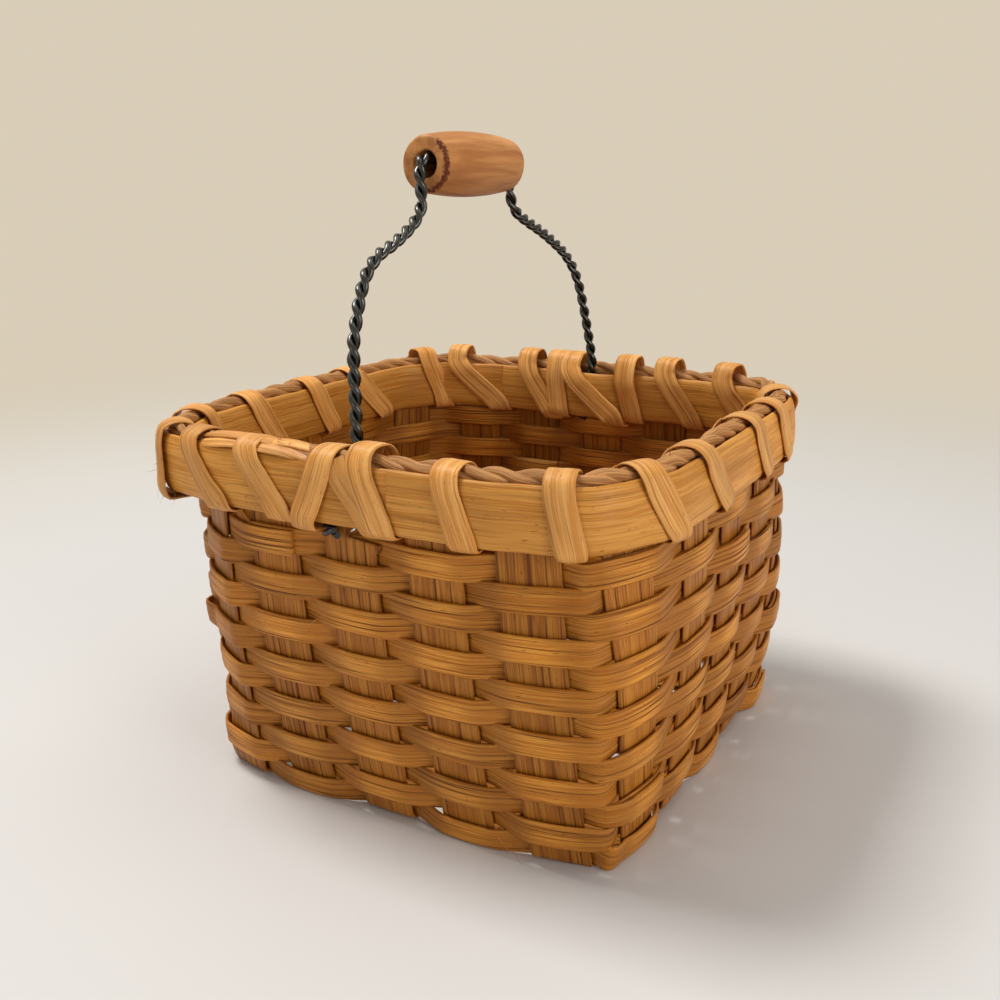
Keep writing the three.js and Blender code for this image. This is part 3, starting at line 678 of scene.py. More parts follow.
def wood_group(name):
    """Split wood: long fibres, streaks, thin dark lines and pores on the strip's own grain, with painted
    shade, and some grime, where it is tucked in and at its edges.
    """
    tree, given, end = new_group(
        name,
        "ShaderNodeTree",
        [
            ("Light", "NodeSocketColor", (0.6, 0.3, 0.1, 1)),
            ("Middle", "NodeSocketColor", (0.4, 0.2, 0.06, 1)),
            ("Dark", "NodeSocketColor", (0.1, 0.04, 0.01, 1)),
            ("Line Strength", "NodeSocketFloat", 0.6),
            ("Lines Across", "NodeSocketFloat", 1500.0),
            ("Streaks Across", "NodeSocketFloat", 520.0),
            # How much painted shade, with some grime, darkens tucked-in places and strip edges
            ("ShadeAndGrime", "NodeSocketFloat", 0.5),
        ],
        [("Colour", "NodeSocketColor"), ("Roughness", "NodeSocketFloat"), ("Height", "NodeSocketFloat")],
    )
    grain = split(tree, carried(tree, "grain"))
    wear_and_shade = split(tree, carried(tree, "wear_and_shade"))
    along, across, seed = grain[0], grain[1], mul(tree, grain[2], 7.31)

    def stretched(a, b, shift, detail=2.0, rough=0.5):
        at = xyz(tree, mul(tree, along, a), mul(tree, across, b), calc(tree, "ADD", seed, shift))
        return noise(tree, at, 1.0, detail, rough)

    fibre = stretched(70.0, 3200.0, 1.0, 3.0, 0.6)
    streak = stretched(16.0, given["Streaks Across"], 4.0, 3.0, 0.55)
    line = ramp(tree, stretched(26.0, given["Lines Across"], 9.0, 2.0), 0.52, 0.72)
    cloud = stretched(28.0, 110.0, 15.0, 3.0)
    tint = stretched(5.0, 12.0, 22.0, 1.0)
    pore = ramp(tree, stretched(650.0, 2600.0, 31.0, 1.0), 0.70, 0.78)
    mottle = mul_add(tree, calc(tree, "SUBTRACT", fibre, 0.5), 1.5, streak)
    paint = blend(tree, ramp(tree, mottle, 0.30, 0.68), given["Middle"], given["Light"])
    dull = ramp(tree, cloud, 0.45, 0.75, 0.0, 0.55)
    paint = blend(tree, dull, paint, blend(tree, 0.35, given["Middle"], given["Dark"]))
    lines = mul(tree, line, given["Line Strength"])
    paint = blend(tree, lines, paint, given["Dark"])
    paint = blend(tree, mul(tree, pore, 0.6), paint, given["Dark"])
    # Painted shade, with some grime: darker where the strip is tucked in and towards its edges.
    edge_rub_and_shade = ramp(tree, wear_and_shade[0], 0.80, 1.0, 0.0, 0.55)
    grime_and_shade = mul(tree, calc(tree, "MAXIMUM", wear_and_shade[2], edge_rub_and_shade), given["ShadeAndGrime"])
    paint = blend(tree, grime_and_shade, paint, blend(tree, 0.55, given["Middle"], given["Dark"]))
    level = ramp(tree, tint, 0.3, 0.7, 0.86, 1.12)
    paint = times(tree, paint, level)
    height = mul_add(tree, streak, 0.8, mul(tree, fibre, 0.5))
    height = mul_add(tree, line, -0.45, height)
    height = mul_add(tree, pore, -0.3, height)
    rough = mul_add(tree, fibre, 0.30, 0.30)
    rough = mul_add(tree, lines, 0.2, rough)
    for i, value in enumerate((paint, rough, height)):
        tree.links.new(value, end.inputs[i])
    return tree


def new_material(name):
    material = bpy.data.materials.new(name)
    material.use_nodes = True
    tree = material.node_tree
    tree.nodes.clear()
    shader = tree.nodes.new("ShaderNodeBsdfPrincipled")
    output = tree.nodes.new("ShaderNodeOutputMaterial")
    tree.links.new(shader.outputs[0], output.inputs[0])
    return material, tree, shader


def shade(tree, shader, **looks):
    """Links or sets inputs by name, with Base_Color for the one called Base Color."""
    for key, value in looks.items():
        given = shader.inputs[key.replace("_", " ")]
        if isinstance(value, bpy.types.NodeSocket):
            tree.links.new(value, given)
        else:
            given.default_value = value


def finish(name, fill, *values, **more):
    """The material of that name, filled the first time that it is asked for."""
    found = bpy.data.materials.get(name)
    if found:
        return found
    material, tree, shader = new_material(name)
    fill(tree, shader, *values, **more)
    return material


def fill_wood(tree, shader, light, middle, dark, depth=0.0002, coat=0.03, **values):
    """Split wood, from the shared grain group."""
    group = tree.nodes.new("ShaderNodeGroup")
    group.node_tree = shared_tree("Split wood grain", wood_group)
    shade(tree, group, Light=light, Middle=middle, Dark=dark, **values)
    paint, rough, height = (group.outputs[key] for key in ("Colour", "Roughness", "Height"))
    shade(tree, shader, Base_Color=paint, Roughness=rough, Normal=bump(tree, 0.8, depth, height))
    shade(tree, shader, Coat_Weight=coat, Coat_Roughness=0.35, Specular_IOR_Level=0.22)


def upright_wood():
    c = colours()
    tones = (c.upright_light, c.upright_mid, c.splint_dark)
    return finish("upright_splint", fill_wood, *tones, Line_Strength=0.95, Lines_Across=1700.0)


def weaver_wood():
    c = colours()
    tones = (c.weaver_light, c.weaver_mid, c.splint_dark)
    grain = {"Line_Strength": 0.95, "Lines_Across": 1900.0, "Streaks_Across": 1050.0}
    return finish("weaver_splint", fill_wood, *tones, depth=0.00045, coat=0.02, **grain)


def band_wood():
    c = colours()
    tones = (c.band_light, c.band_mid, c.rim_dark)
    grain = {"Line_Strength": 0.3, "Streaks_Across": 300.0, "ShadeAndGrime": 0.25}
    return finish("rim_band_splint", fill_wood, *tones, depth=0.00012, **grain)


def lash_wood():
    c = colours()
    tones = (c.lash_light, c.lash_mid, c.rim_dark)
    grain = {"Line_Strength": 0.5, "Lines_Across": 1700.0, "ShadeAndGrime": 0.3}
    return finish("lashing_splint", fill_wood, *tones, depth=0.00025, **grain)


def fill_rush(tree, shader):
    c = colours()
    along, x, y = split(tree, carried(tree, "grain"))
    at = xyz(tree, mul(tree, along, 90.0), mul(tree, x, 4200.0), mul(tree, y, 4200.0))
    fibre = noise(tree, at, 1.0, 4.0, 0.65)
    broad = noise(tree, at, 0.3, 2.0)
    paint = blend(tree, ramp(tree, fibre, 0.3, 0.7), c.rush_dark, c.rush_light)
    paint = blend(tree, ramp(tree, broad, 0.5, 0.8, 0.0, 0.6), paint, c.rush_dark)
    shade(tree, shader, Base_Color=paint, Normal=bump(tree, 0.9, 0.0004, fibre), Roughness=0.62)


def rush_finish():
    return finish("twisted_rush", fill_rush)


def fill_wire(tree, shader):
    at = put(tree, "ShaderNodeTexCoord", out=3)
    patch = noise(tree, at, 900.0, 3.0, 0.6)
    greenish = (0.02, 0.028, 0.02, 1)
    paint = blend(tree, ramp(tree, patch, 0.55, 0.75, 0.0, 0.5), colours().wire, greenish)
    rough = ramp(tree, patch, 0.3, 0.8, 0.22, 0.42)
    shade(tree, shader, Base_Color=paint, Roughness=rough, Normal=bump(tree, 0.35, 0.0001, patch))
    shade(tree, shader, Coat_Weight=0.3, Coat_Roughness=0.12)


def wire_finish():
    return finish("coated_wire", fill_wire)


def fill_grip(tree, shader):
    """Turned wood with painted shade on its underside, scorched ends and a fine crack."""
    c = colours()
    at = put(tree, "ShaderNodeTexCoord", out=3)
    x, y, z = split(tree, at)
    long = xyz(tree, mul(tree, x, 420.0), mul(tree, y, 28.0), mul(tree, z, 420.0))
    grain = noise(tree, long, 1.0, 4.0, 0.6)
    fine = noise(tree, long, 4.0, 3.0, 0.6)
    paint = blend(tree, ramp(tree, grain, 0.35, 0.7), c.grip_light, c.grip_dark)
    paint = blend(tree, ramp(tree, fine, 0.60, 0.75, 0.0, 0.45), paint, c.grip_dark)
    # Painted shade: the grip darkens towards its underside.
    underside_shade = ramp(tree, z, (GRIP_Z - 6.0) * MM, (GRIP_Z + 2.0) * MM, 0.32, 0.0)
    paint = blend(tree, underside_shade, paint, c.grip_underside_shade)
    speck = noise(tree, at, 1500.0, 3.0, 0.7)
    ring = calc(tree, "SUBTRACT", carried(tree, "char", 2), 1.0)
    burnt = ramp(tree, mul_add(tree, speck, 1.1, ring), 0.2, 0.5)
    paint = blend(tree, burnt, paint, c.char)
    rough = mul_add(tree, burnt, 0.3, mul_add(tree, fine, 0.25, 0.42))
    height = mul_add(tree, fine, 0.25, mul(tree, grain, 0.3))
    height = mul_add(tree, burnt, mul(tree, speck, -1.0), height)
    height = calc(tree, "SUBTRACT", height, carried(tree, "crack", 2))
    shade(tree, shader, Base_Color=paint, Roughness=rough, Normal=bump(tree, 0.8, 0.00025, height))
    shade(tree, shader, Coat_Weight=0.03, Coat_Roughness=0.4, Specular_IOR_Level=0.3)


def grip_finish():
    return finish("turned_grip", fill_grip)


def fill_floor(tree, shader):
    """A pale floor that the camera sees turn into the backdrop far from the basket."""
    c = colours()
    at = put(tree, "ShaderNodeTexCoord", out=3)
    mottle = noise(tree, at, 14.0, 3.0)
    stained = (0.62, 0.6, 0.56, 1)
    paint = blend(tree, ramp(tree, mottle, 0.3, 0.7, 0.0, 0.10), c.floor, stained)
    x, y, _ = split(tree, at)
    far = calc(tree, "SQRT", calc(tree, "ADD", mul(tree, x, x), mul(tree, y, y)))
    shade(tree, shader, Base_Color=paint, Roughness=0.5, Specular_IOR_Level=0.25)
    rays = put(tree, "ShaderNodeLightPath", out=None)
    seen = calc(tree, "MAXIMUM", rays.outputs["Is Camera Ray"], rays.outputs["Is Glossy Ray"])
    share = mul(tree, seen, ramp(tree, far, 0.16, 0.62))
    glow = put(tree, "ShaderNodeEmission", {0: c.backdrop, 1: 1.0})
    mixed = put(tree, "ShaderNodeMixShader", {0: share, 1: shader.outputs[0], 2: glow})
    output = next(node for node in tree.nodes if node.type == "OUTPUT_MATERIAL")
    tree.links.new(mixed, output.inputs[0])


def floor_finish():
    return finish("pale_floor", fill_floor)


def fill_fibre(tree, shader, tint):
    """A thin fibre: its colour wanders along it."""
    at = put(tree, "ShaderNodeTexCoord", out=3)
    patch = noise(tree, at, 500.0, 2.0)
    darker = tuple(c * 0.45 for c in tint[:3]) + (1.0,)
    paint = blend(tree, ramp(tree, patch, 0.35, 0.7), tint, darker)
    shade(tree, shader, Base_Color=paint, Normal=bump(tree, 0.3, 0.00005, patch), Roughness=0.6)


# The pieces


class Jitter:
    """Small repeatable irregularities."""

    def __init__(self, salt):
        self.random = np.random.default_rng(1000 * sizes().seed + salt)

    def __call__(self, amount):
        return float(self.random.uniform(-amount, amount))


def wall_rows(k, layer, notched):
    """Rows down upright k from its top to the fold's end at the wall's foot."""
    half = mm("upright_width") / 2
    thick = mm("upright_thick")
    foot = layer + FOLD
    heights = list(np.arange(STAKE_TOP, foot + 1.5, -2.5))
    if notched:
        heights = [h for h in heights if abs(h - NOTCH) > 1.2] + [NOTCH + 0.25, NOTCH - 0.25]
        heights.sort(reverse=True)
    rows = []
    for z in [*heights, foot]:
        at, along, out, _ = face_of(k, z)
        lo, hi = -half, half
        if notched and z > NOTCH:
            # The half towards +X is cut away. The solids cut the other half, where the wire's hook passes.
            lo, hi = (-half, -0.2) if along[0] > 0 else (0.2, half)
        rows.append([*at, *out, lo, hi, thick, SPLINT_CROWN, 0.0])
    at, along, out, _ = face_of(k, foot)
    inward = unit(np.array([-out[0], -out[1], 0.0]))
    pivot = at + inward * FOLD
    for degrees in (30, 60, 90):
        angle = math.radians(degrees)
        spoke = -inward * math.cos(angle) + np.array([0, 0, -math.sin(angle)])
        rows.append([*(pivot + spoke * FOLD), *spoke, -half, half, thick, FLAT_CROWN, 0.0])
    return rows


def wander(rows, shake, width):
    """Lets a strip's edges and line wander a little."""
    drift = 0.0
    for row in rows:
        drift = drift * 0.8 + shake(width)
        if row[7] - row[6] > 8:
            row[6] += drift + shake(width * 0.4)
            row[7] += drift + shake(width * 0.4)
    return rows


def whole_splint(k, far_k, crossings, layer, notched, salt):
    """A splint from the rim down, across the bottom and up to the far rim."""
    half = mm("upright_width") / 2
    thick = mm("upright_thick")
    down = wall_rows(k, layer, notched)
    up = [list(row) for row in wall_rows(far_k, layer, notched)]
    for row in up:
        row[6], row[7] = -row[7], -row[6]
    bottom = (0, 0, -1, -half, half, thick, FLAT_CROWN, 0.3)
    flat = [[*(np.array(place) + OFFSET), *bottom] for place in crossings]
    rows = wander([*down, *flat, *up[::-1]], Jitter(salt), 0.12)
    return rail(rows, 1.1, seed=salt)


def bottom_places(count, pitch):
    return [(i - (count - 1) / 2) * pitch for i in range(count)]


class SPLINTBASKET_OT_uprights(bpy.types.Operator):
    """The long and cross splints: bottom and uprights of the basket"""

    bl_idname = "splintbasket.uprights"
    bl_label = "Long and cross splints"

    def execute(self, context):
        half = mm("upright_width") / 2 + CROSSING_EASE
        low = mm("upright_thick") / 2
        high = low + mm("upright_thick") + LAYER_GAP
        long_x = bottom_places(FRONT, FRONT_PITCH[0])
        cross_y = bottom_places(SIDE, SIDE_PITCH[0])
        half_count = UPRIGHTS // 2

        def lay(name, path):
            add_splint(name + "_wood", [path], upright_wood(), UPRIGHT_STRIP, name)

        for i, x in enumerate(long_x):
            x += LEAN[0]
            reach = BASE_HALF[1] - FOLD - FLAT_SHORT
            flat = [(x, LEAN[1] - reach, low)]
            for j, y in enumerate(cross_y):
                z = low if (i + j) % 2 == 0 else high
                flat += [(x, y + LEAN[1] - half, z), (x, y + LEAN[1], z), (x, y + LEAN[1] + half, z)]
            flat.append((x, LEAN[1] + reach, low))
            far_k = half_count + FRONT - 1 - i
            lay(f"long_splint_{i + 1}", whole_splint(i, far_k, flat, low, i == NEAR, 11 + i))
        for j, y in enumerate(cross_y):
            flat = []
            for i, x in reversed(list(enumerate(long_x))):
                z = high if (i + j) % 2 == 0 else low
                x += LEAN[0]
                flat += [(x + half, y + LEAN[1], z), (x, y + LEAN[1], z), (x - half, y + LEAN[1], z)]
            layer = high if j % 2 == 0 else low
            far_k = UPRIGHTS - 1 - j
            lay(f"cross_splint_{j + 1}", whole_splint(FRONT + j, far_k, flat, layer, False, 31 + j))
        return {"FINISHED"}


def row_climb(k, row):
    """How much higher a row lies there than on the near wall."""
    place = k % UPRIGHTS
    marks = (0, 2, 3, 4, 5, 9, 10, 16, 18, 19, 20)
    climbs = (0, 0, 0.6, 1.3, 2.0, 2.1, 2.5, 2.6, 1.6, 0.7, 0)
    return float(np.interp(place, marks, climbs)) * min(1.0, max(0.0, (row - 1) / 4))


# Where each row's outer end shows, counted in uprights, from the bottom row up
ROW_STARTS = (9.6, 13.4, 5.5, 17.4, 10.5, 12.6, 16.4, 18.4, 11.5, 14.5, 7.4, 17.6, 1.66)


# Across each upright a row has five places: a share of its half width, how far beyond, and how bowed
STATIONS = ((-1, 0.2, 0.0), (-0.55, 0, 0.75), (0.0, 0, 1.0), (0.55, 0, 0.75), (1, 0.2, 0.0))


class SPLINTBASKET_OT_rows(bpy.types.Operator):
    """The weaver rows: each one strip round the wall whose ends overlap"""

    bl_idname = "splintbasket.rows"
    bl_label = "Weaver rows"

    def execute(self, context):
        for row in range(1, ROWS + 1):
            name = f"weaver_row_{row}"
            add_splint(name + "_wood", [self.path(row)], weaver_wood(), WEAVER_STRIP, name)
        return {"FINISHED"}

    def path(self, row):
        shake = Jitter(100 + row)
        thick = mm("weaver_thick")
        out_at = mm("upright_thick") / 2 + WEAVER_GAP + thick / 2
        tall, tucked = mm("weaver_height") / 2, mm("weaver_tuck") / 2
        if row == 1:
            tall, tucked = LOW_ROW_TALL, LOW_ROW_TUCK
        edge = mm("upright_width") / 2
        crown, bow = mm("weaver_crown"), mm("weaver_bow")
        middle = FIRST_ROW + (row - 1) * ROW_PITCH
        end = ROW_STARTS[row - 1]
        first = math.ceil(end - ROW_OVERLAP)
        last = math.floor(end) + UPRIGHTS
        drift = 0.0
        rows = []
        for k in range(first, last + 1):
            over = (k + row) % 2 == 0
            starting = k < end
            ending = k > last - ROW_OVERLAP
            lift = 0.55 if row == 1 and not over else 0.0
            drift = drift * 0.5 + shake(0.12)
            climb = row_climb(k, row)
            stretch = climb - row_climb(k, row - 1)
            z = middle + lift + drift + climb
            if row == ROWS and k == first:
                # The last row starts under the outer band and slopes down to its level.
                z += LAST_ROW_RISE
            at, along, out, up = face_of(k, z)
            # The ends lie on each other: the last layer outside, the first inside.
            extra = 0.0
            if ending:
                extra = (thick + 0.1) if over else 0.0
            if starting:
                extra = 0.0 if over else -(thick + 0.1)
            half = (tall + shake(0.12) if over else tucked) + stretch / 2
            off = (out_at if over else -out_at - (0.4 if row == 1 else 0.0)) + extra
            side = 1 if over else -1
            loose = shake(0.12)
            for across, beyond, share in STATIONS:
                a = edge * across + math.copysign(beyond, across)
                h = mix(tucked + stretch / 2, half, smooth(share + 0.35))
                foot = -h if row > 1 or (share > 0.5 and not over) else -(z - 0.15)
                bowed = off + side * (bow + loose) * share
                place = at + along * a + out * bowed + up * shake(0.05)
                domed = crown * side * (0.4 + 0.6 * share)
                rows.append([*place, *out, foot, h, thick, domed, 1.0 - share])
            if k % UPRIGHTS in CORNERS and k < last:
                point, facing = corner(k, z, edge + CORNER_REACH)
                if k % UPRIGHTS == CORNERS[0]:
                    # The lowest rows stand out at the near corner.
                    point = point + facing * max(0.0, 1.2 - 0.5 * (row - 1))
                elif row == SLACK_ROW:
                    # One row is slack and stands out at the other corners.
                    point = point + facing * SLACK_ROW_OUT
                foot = -tucked if row > 1 else 0.15 - z
                rows.append([*point, *facing, foot, tucked, thick, 0.0, 1.0])
        return rail(rows, 0.9, seed=100 + row, start=37.0 * row)


class RimLine:
    """A smooth line round the rim at its middle height, with its directions and its run."""

    def __init__(self):
        edge = mm("upright_width") / 2 + CORNER_REACH
        rows = []
        for k in range(UPRIGHTS):
            at, along, out, up = face_of(k, RIM_MIDDLE)
            for a in (-edge, 0.0, edge):
                rows.append([*(at + along * a), *out, *up])
            if k in CORNERS:
                point, facing = corner(k, RIM_MIDDLE, edge)
                rows.append([*point, *facing, 0, 0, 1])
        path, run = follow(rows, 0.5, closed=True)
        self.path, self.run, self.total = path, run, run[-1]
        middles = [face_of(k, RIM_MIDDLE)[0] for k in range(UPRIGHTS)]
        found = [run[np.argmin(np.linalg.norm(path[:, :3] - m, axis=1))] for m in middles]
        found[0] = 0.0 if found[0] > run[-1] / 2 else found[0]
        self.marks = [*found, found[0] + self.total]
        outs = path[:, 3:5] / np.linalg.norm(path[:, 3:5], axis=1)[:, None]
        turn = np.linalg.norm(np.gradient(outs, run, axis=0), axis=1)
        self.turn = np.convolve(np.concatenate([turn[-8:], turn, turn[:8]]), np.ones(17) / 17, "valid")

    def at_place(self, place):
        """The run at a place counted in uprights."""
        turns, rest = divmod(place, UPRIGHTS)
        return turns * self.total + float(np.interp(rest, range(UPRIGHTS + 1), self.marks))

    def frame(self, run):
        values = [np.interp(run % self.total, self.run, self.path[:, c]) for c in range(9)]
        return np.array(values[:3]), unit(np.array(values[3:6])), unit(np.array(values[6:9]))

    def point(self, run, off, z):
        at, out, up = self.frame(run)
        return at + out * off + up * (z - RIM_MIDDLE)

    def bend(self, run):
        """How sharply the rim turns there, per millimetre."""
        return float(np.interp(run % self.total, self.run, self.turn))

    def bulge(self, run, spread=0.0):
        """How far the inner side stands off for the handle's wire, 0 to 1."""
        shares = []
        for k in (NEAR, FAR):
            away = abs((run - self.marks[k] + 1.5 * self.total) % self.total - self.total / 2)
            shares.append(1 - smooth((away - spread - BULGE_FLAT) / BULGE_FADE))
        return max(shares)


RIM = {}


def rim():
    if "line" not in RIM:
        RIM["line"] = RimLine()
    return RIM["line"]


class SPLINTBASKET_OT_bands(bpy.types.Operator):
    """The outer and inner rim bands and the thin row hidden between them"""

    bl_idname = "splintbasket.bands"
    bl_label = "Rim bands"

    def execute(self, context):
        line = rim()
        half = (RIM_TOP - RIM_BOTTOM) / 2
        thick, crown = mm("band_thick"), mm("band_crown")
        overlap = BAND_OVERLAP

        def band(side, start, salt):
            """Scarfed ends: the first lies outside the last, which tapers away under it."""
            shake = Jitter(salt)
            rows = []
            begin, stop = line.at_place(start), line.at_place(start + UPRIGHTS) + overlap
            for run in np.arange(begin, stop, 3.0):
                on = run - begin
                left = stop - run
                t = thick
                inner = BAND_IN
                if on < overlap:
                    t = mix(1.0, thick, on / overlap)
                    inner = BAND_IN + thick - t
                if left < overlap:
                    t = mix(0.25, thick - 0.15, left / overlap)
                at, out, up = line.frame(run)
                bulge = BULGE * line.bulge(run) if side < 0 else 0.0
                off = side * (inner + t / 2 + bulge)
                lift = shake(0.08)
                rows.append([*(at + out * off + up * lift), *(out * side), -half, half, t, crown, 0.0])
            return rail(rows, 1.2, seed=salt)

        bands = ((1, "rim_band_outer", 2.63, 201), (-1, "rim_band_inner", 13.55, 202))
        for side, name, start, salt in bands:
            add_splint(name + "_wood", [band(side, start, salt)], band_wood(), BAND_STRIP, name)
        edge = mm("upright_width") / 2
        section = (-RIM_ROW_HALF, RIM_ROW_HALF, RIM_ROW_THICK, 0.0, 0.5)
        rows = []
        for i in range(UPRIGHTS - 1):
            k = (FAR + 1 + i) % UPRIGHTS
            at, along, out, _ = face_of(k, RIM_ROW_Z)
            off = RIM_ROW_OFF if k % 2 == 0 else -RIM_ROW_OFF
            rows += [[*(at + along * a + out * off), *out, *section] for a in (-edge, 0, edge)]
            if k in CORNERS and i < UPRIGHTS - 2:
                point, facing = corner(k, RIM_ROW_Z, edge + CORNER_REACH)
                rows.append([*point, *facing, *section])
        add_splint("rim_row_wood", [rail(rows, 2.0, seed=203)], weaver_wood(), RIM_ROW_STRIP, "rim_row")
        return {"FINISHED"}


def cord_rail(places, facing, step, seed):
    """A path for twisted strands."""
    rows = [[*p, *f, 0, 0, 0, 1.0, 0.0] for p, f in zip(places, facing)]
    return rail(rows, step, seed=seed)


# Flat splits where the rush's ends meet: salt, start and stop in uprights, out, height, half, facing
SPLITS = (
    (1, 20.12, 21.62, 2.3, 83.6, 1.7, (0.5, 0.85)),
    (2, 20.05, 21.3, 0.3, 84.7, 2.0, (0.1, 1)),
    (3, 20.2, 21.15, -1.7, 83.9, 1.7, (-0.5, 0.85)),
    (4, 21.0, 21.7, 0.7, 84.6, 1.3, (0.3, 0.95)),
)


class SPLINTBASKET_OT_rush(bpy.types.Operator):
    """The rush filler: three plies twisted together on top of the uprights"""

    bl_idname = "splintbasket.rush"
    bl_label = "Rim filler"

    def execute(self, context):
        line = rim()
        shake = Jitter(301)
        places, facing = [], []
        begin = line.at_place(1.3)
        for run in np.arange(begin, begin + line.total - RUSH_GAP, 4.0):
            bulge = line.bulge(run)
            off = 0.75 * bulge + shake(0.2)
            places.append(line.point(run, off, RUSH_Z + shake(0.3)))
            facing.append(line.frame(run)[1])
        path = cord_rail(places, facing, 0.55, seed=3.0)
        ply = mm("rush_ply")
        look = {
            "Strands": 3,
            "Strand_Radius": ply * MM,
            "Twist_Radius": ply * 0.85 * MM,
            "Pitch": mm("rush_pitch") * MM,
            "Lumps": 0.9,
            "Sides": 16,
        }
        add_cord("rim_filler_rush", [path], rush_finish(), look, "basket", "rim_filler")
        splits = []
        for salt, start, stop, off, z, half, lean in SPLITS:
            rows = []
            for share in np.linspace(0, 1, 7):
                run = line.at_place(mix(start, stop, share))
                at, out, up = line.frame(run)
                rise = z - 1.3 * abs(2 * share - 1) ** 3
                place = at + out * (off + shake(0.2)) + up * (rise - RIM_MIDDLE + shake(0.12))
                width = half * (1 - 0.35 * abs(2 * share - 1) ** 4)
                rows.append([*place, *(out * lean[0] + up * lean[1]), -width, width, 0.5, 0.25, 0.0])
            splits.append(rail(rows, 0.8, seed=310 + salt))
        add_splint("rim_filler_splits", splits, lash_wood(), SPLIT_STRIP, "rim_filler")
        return {"FINISHED"}


# The loop that lies on another one beside the wire, by where it goes over the rim
DOUBLED = 22.31

# The lashing's loops: where each goes over the rim, where it goes in below, and which layer it is
WRAPS = (
    (10, 10.43, 0), (10.9, 11.37, 0), (11.5, 11.6, 1), (12.33, 12.53, 0),
    (12.6, 12.66, 1), (13.09, 13.58, 0), (14.24, 14.55, 0), (14.85, 15.65, 0),
    (16.2, 16.7, 0), (17, 17.65, 0), (18, 18.45, 0), (18.8, 19.45, 0),
    (19.5, 19.55, 1), (20, 20.5, 0), (20.84, 21.32, 0), (21.86, 21.62, 1),
    (DOUBLED, 22.58, 0), (23.27, 23.47, 0), (24.33, 24.42, 0), (25.1, 25.4, 0),
    (25.9, 26.35, 0), (27.25, 27.58, 0), (28.05, 28.35, 0), (28.85, 29.45, 0),
)


# One more strand lies flat under the outer ones beside the wire's leg: place, out, height, facing
UNDER_STRAND = (
    (2.0, 3.3, 83.2, (0.8, 0.6)),
    (2.1, 4.25, 80.0, (1, 0)),
    (2.3, 4.3, 75.0, (1, 0)),
    (2.48, 4.3, 70.5, (1, 0)),
    (2.52, 3.2, 68.7, (0.7, -0.7)),
    (2.52, 1.2, 68.4, (0, -1)),
)


class SPLINTBASKET_OT_lashing(bpy.types.Operator):
    """The lashing: one splint wound round the rim through every gap"""

    bl_idname = "splintbasket.lashing"
    bl_label = "Rim lashing"

    def execute(self, context):
        line = rim()
        shake = Jitter(401)
        half, thick = mm("lash_width") / 2, mm("lash_thick")
        low, stand = LASH_LOW, LASH_STAND
        rows = []

        def add(run, off, z, facing, tuck=0.0, squeeze=1.0):
            at, out, up = line.frame(run)
            # A strip laid on the rim's corners bends with them.
            wrap = line.bend(run) * half * half / 2 * facing[0]
            if off < 0:
                off -= BULGE * line.bulge(run, 3.0) * min(1.0, -off / stand)
            place = at + out * (off - wrap * 0.5) + up * (z - RIM_MIDDLE)
            face = out * facing[0] + up * facing[1]
            rows.append([*place, *face, -half * squeeze, half * squeeze, thick, 0.06 + wrap, tuck])

        place, layer = 9.5, 0
        for over, into, last in WRAPS:
            a, t, b = line.at_place(place), line.at_place(over), line.at_place(into)
            da, db = layer * LASH_LAYER, last * LASH_LAYER
            # The loops over the far wall are slack, and one loop lies on another beside the wire.
            slack = LASH_SLACK * smooth((over - 9.2) / 0.7) * smooth((15.4 - over) / 0.8)
            top = LASH_TOP + slack + (DOUBLED_RISE if over == DOUBLED else 0.0)
            add(a, -1.2, low - da, (0, -1), 1.0, 0.92)
            add(a, -stand + 0.9 - da, low + 0.1 - da, (-0.7, -0.7), 0.9, 0.95)
            for share, z in ((0.05, 70.6), (0.3, 73.6), (0.58, 77.0), (0.84, 80.4)):
                add(mix(a, t, share), -stand - 0.1 - da * (1 - share), z, (-1, 0), 0.0)
            tilt = shake(0.25)
            shoulder = mix(83.0, top, 0.2)
            for off, z, facing in (
                (-3.85, shoulder, (-0.8, 0.6)),
                (-2.3, top - 0.45, (-0.45, 0.9)),
                (0.0, top, (0, 1)),
                (2.3, top - 0.45, (0.45, 0.9)),
                (3.85, shoulder, (0.8, 0.6)),
            ):
                add(t + tilt * off / 4, off, z, facing)
            for share, z in ((0.16, 80.4), (0.42, 77.0), (0.7, 73.6), (0.95, 70.6)):
                add(mix(t, b, share), stand + 0.1 + db * share, z, (1, 0), 0.0)
            add(b, stand - 0.9 + db, low + 0.1 - db, (0.7, -0.7), 0.9, 0.95)
            add(b, 1.2, low - db, (0, -1), 1.0, 0.92)
            place, layer = into, last
        winding = rail(rows[1:-1], 0.8, seed=401)
        rows = []
        for place, off, z, facing in UNDER_STRAND:
            add(line.at_place(place), off, z, facing)
        near_under = rail(rows, 0.8, seed=402)
        add_splint("rim_lashing_splint", [winding, near_under], lash_wood(), LASH_STRIP, "rim_lashing")
        return {"FINISHED"}


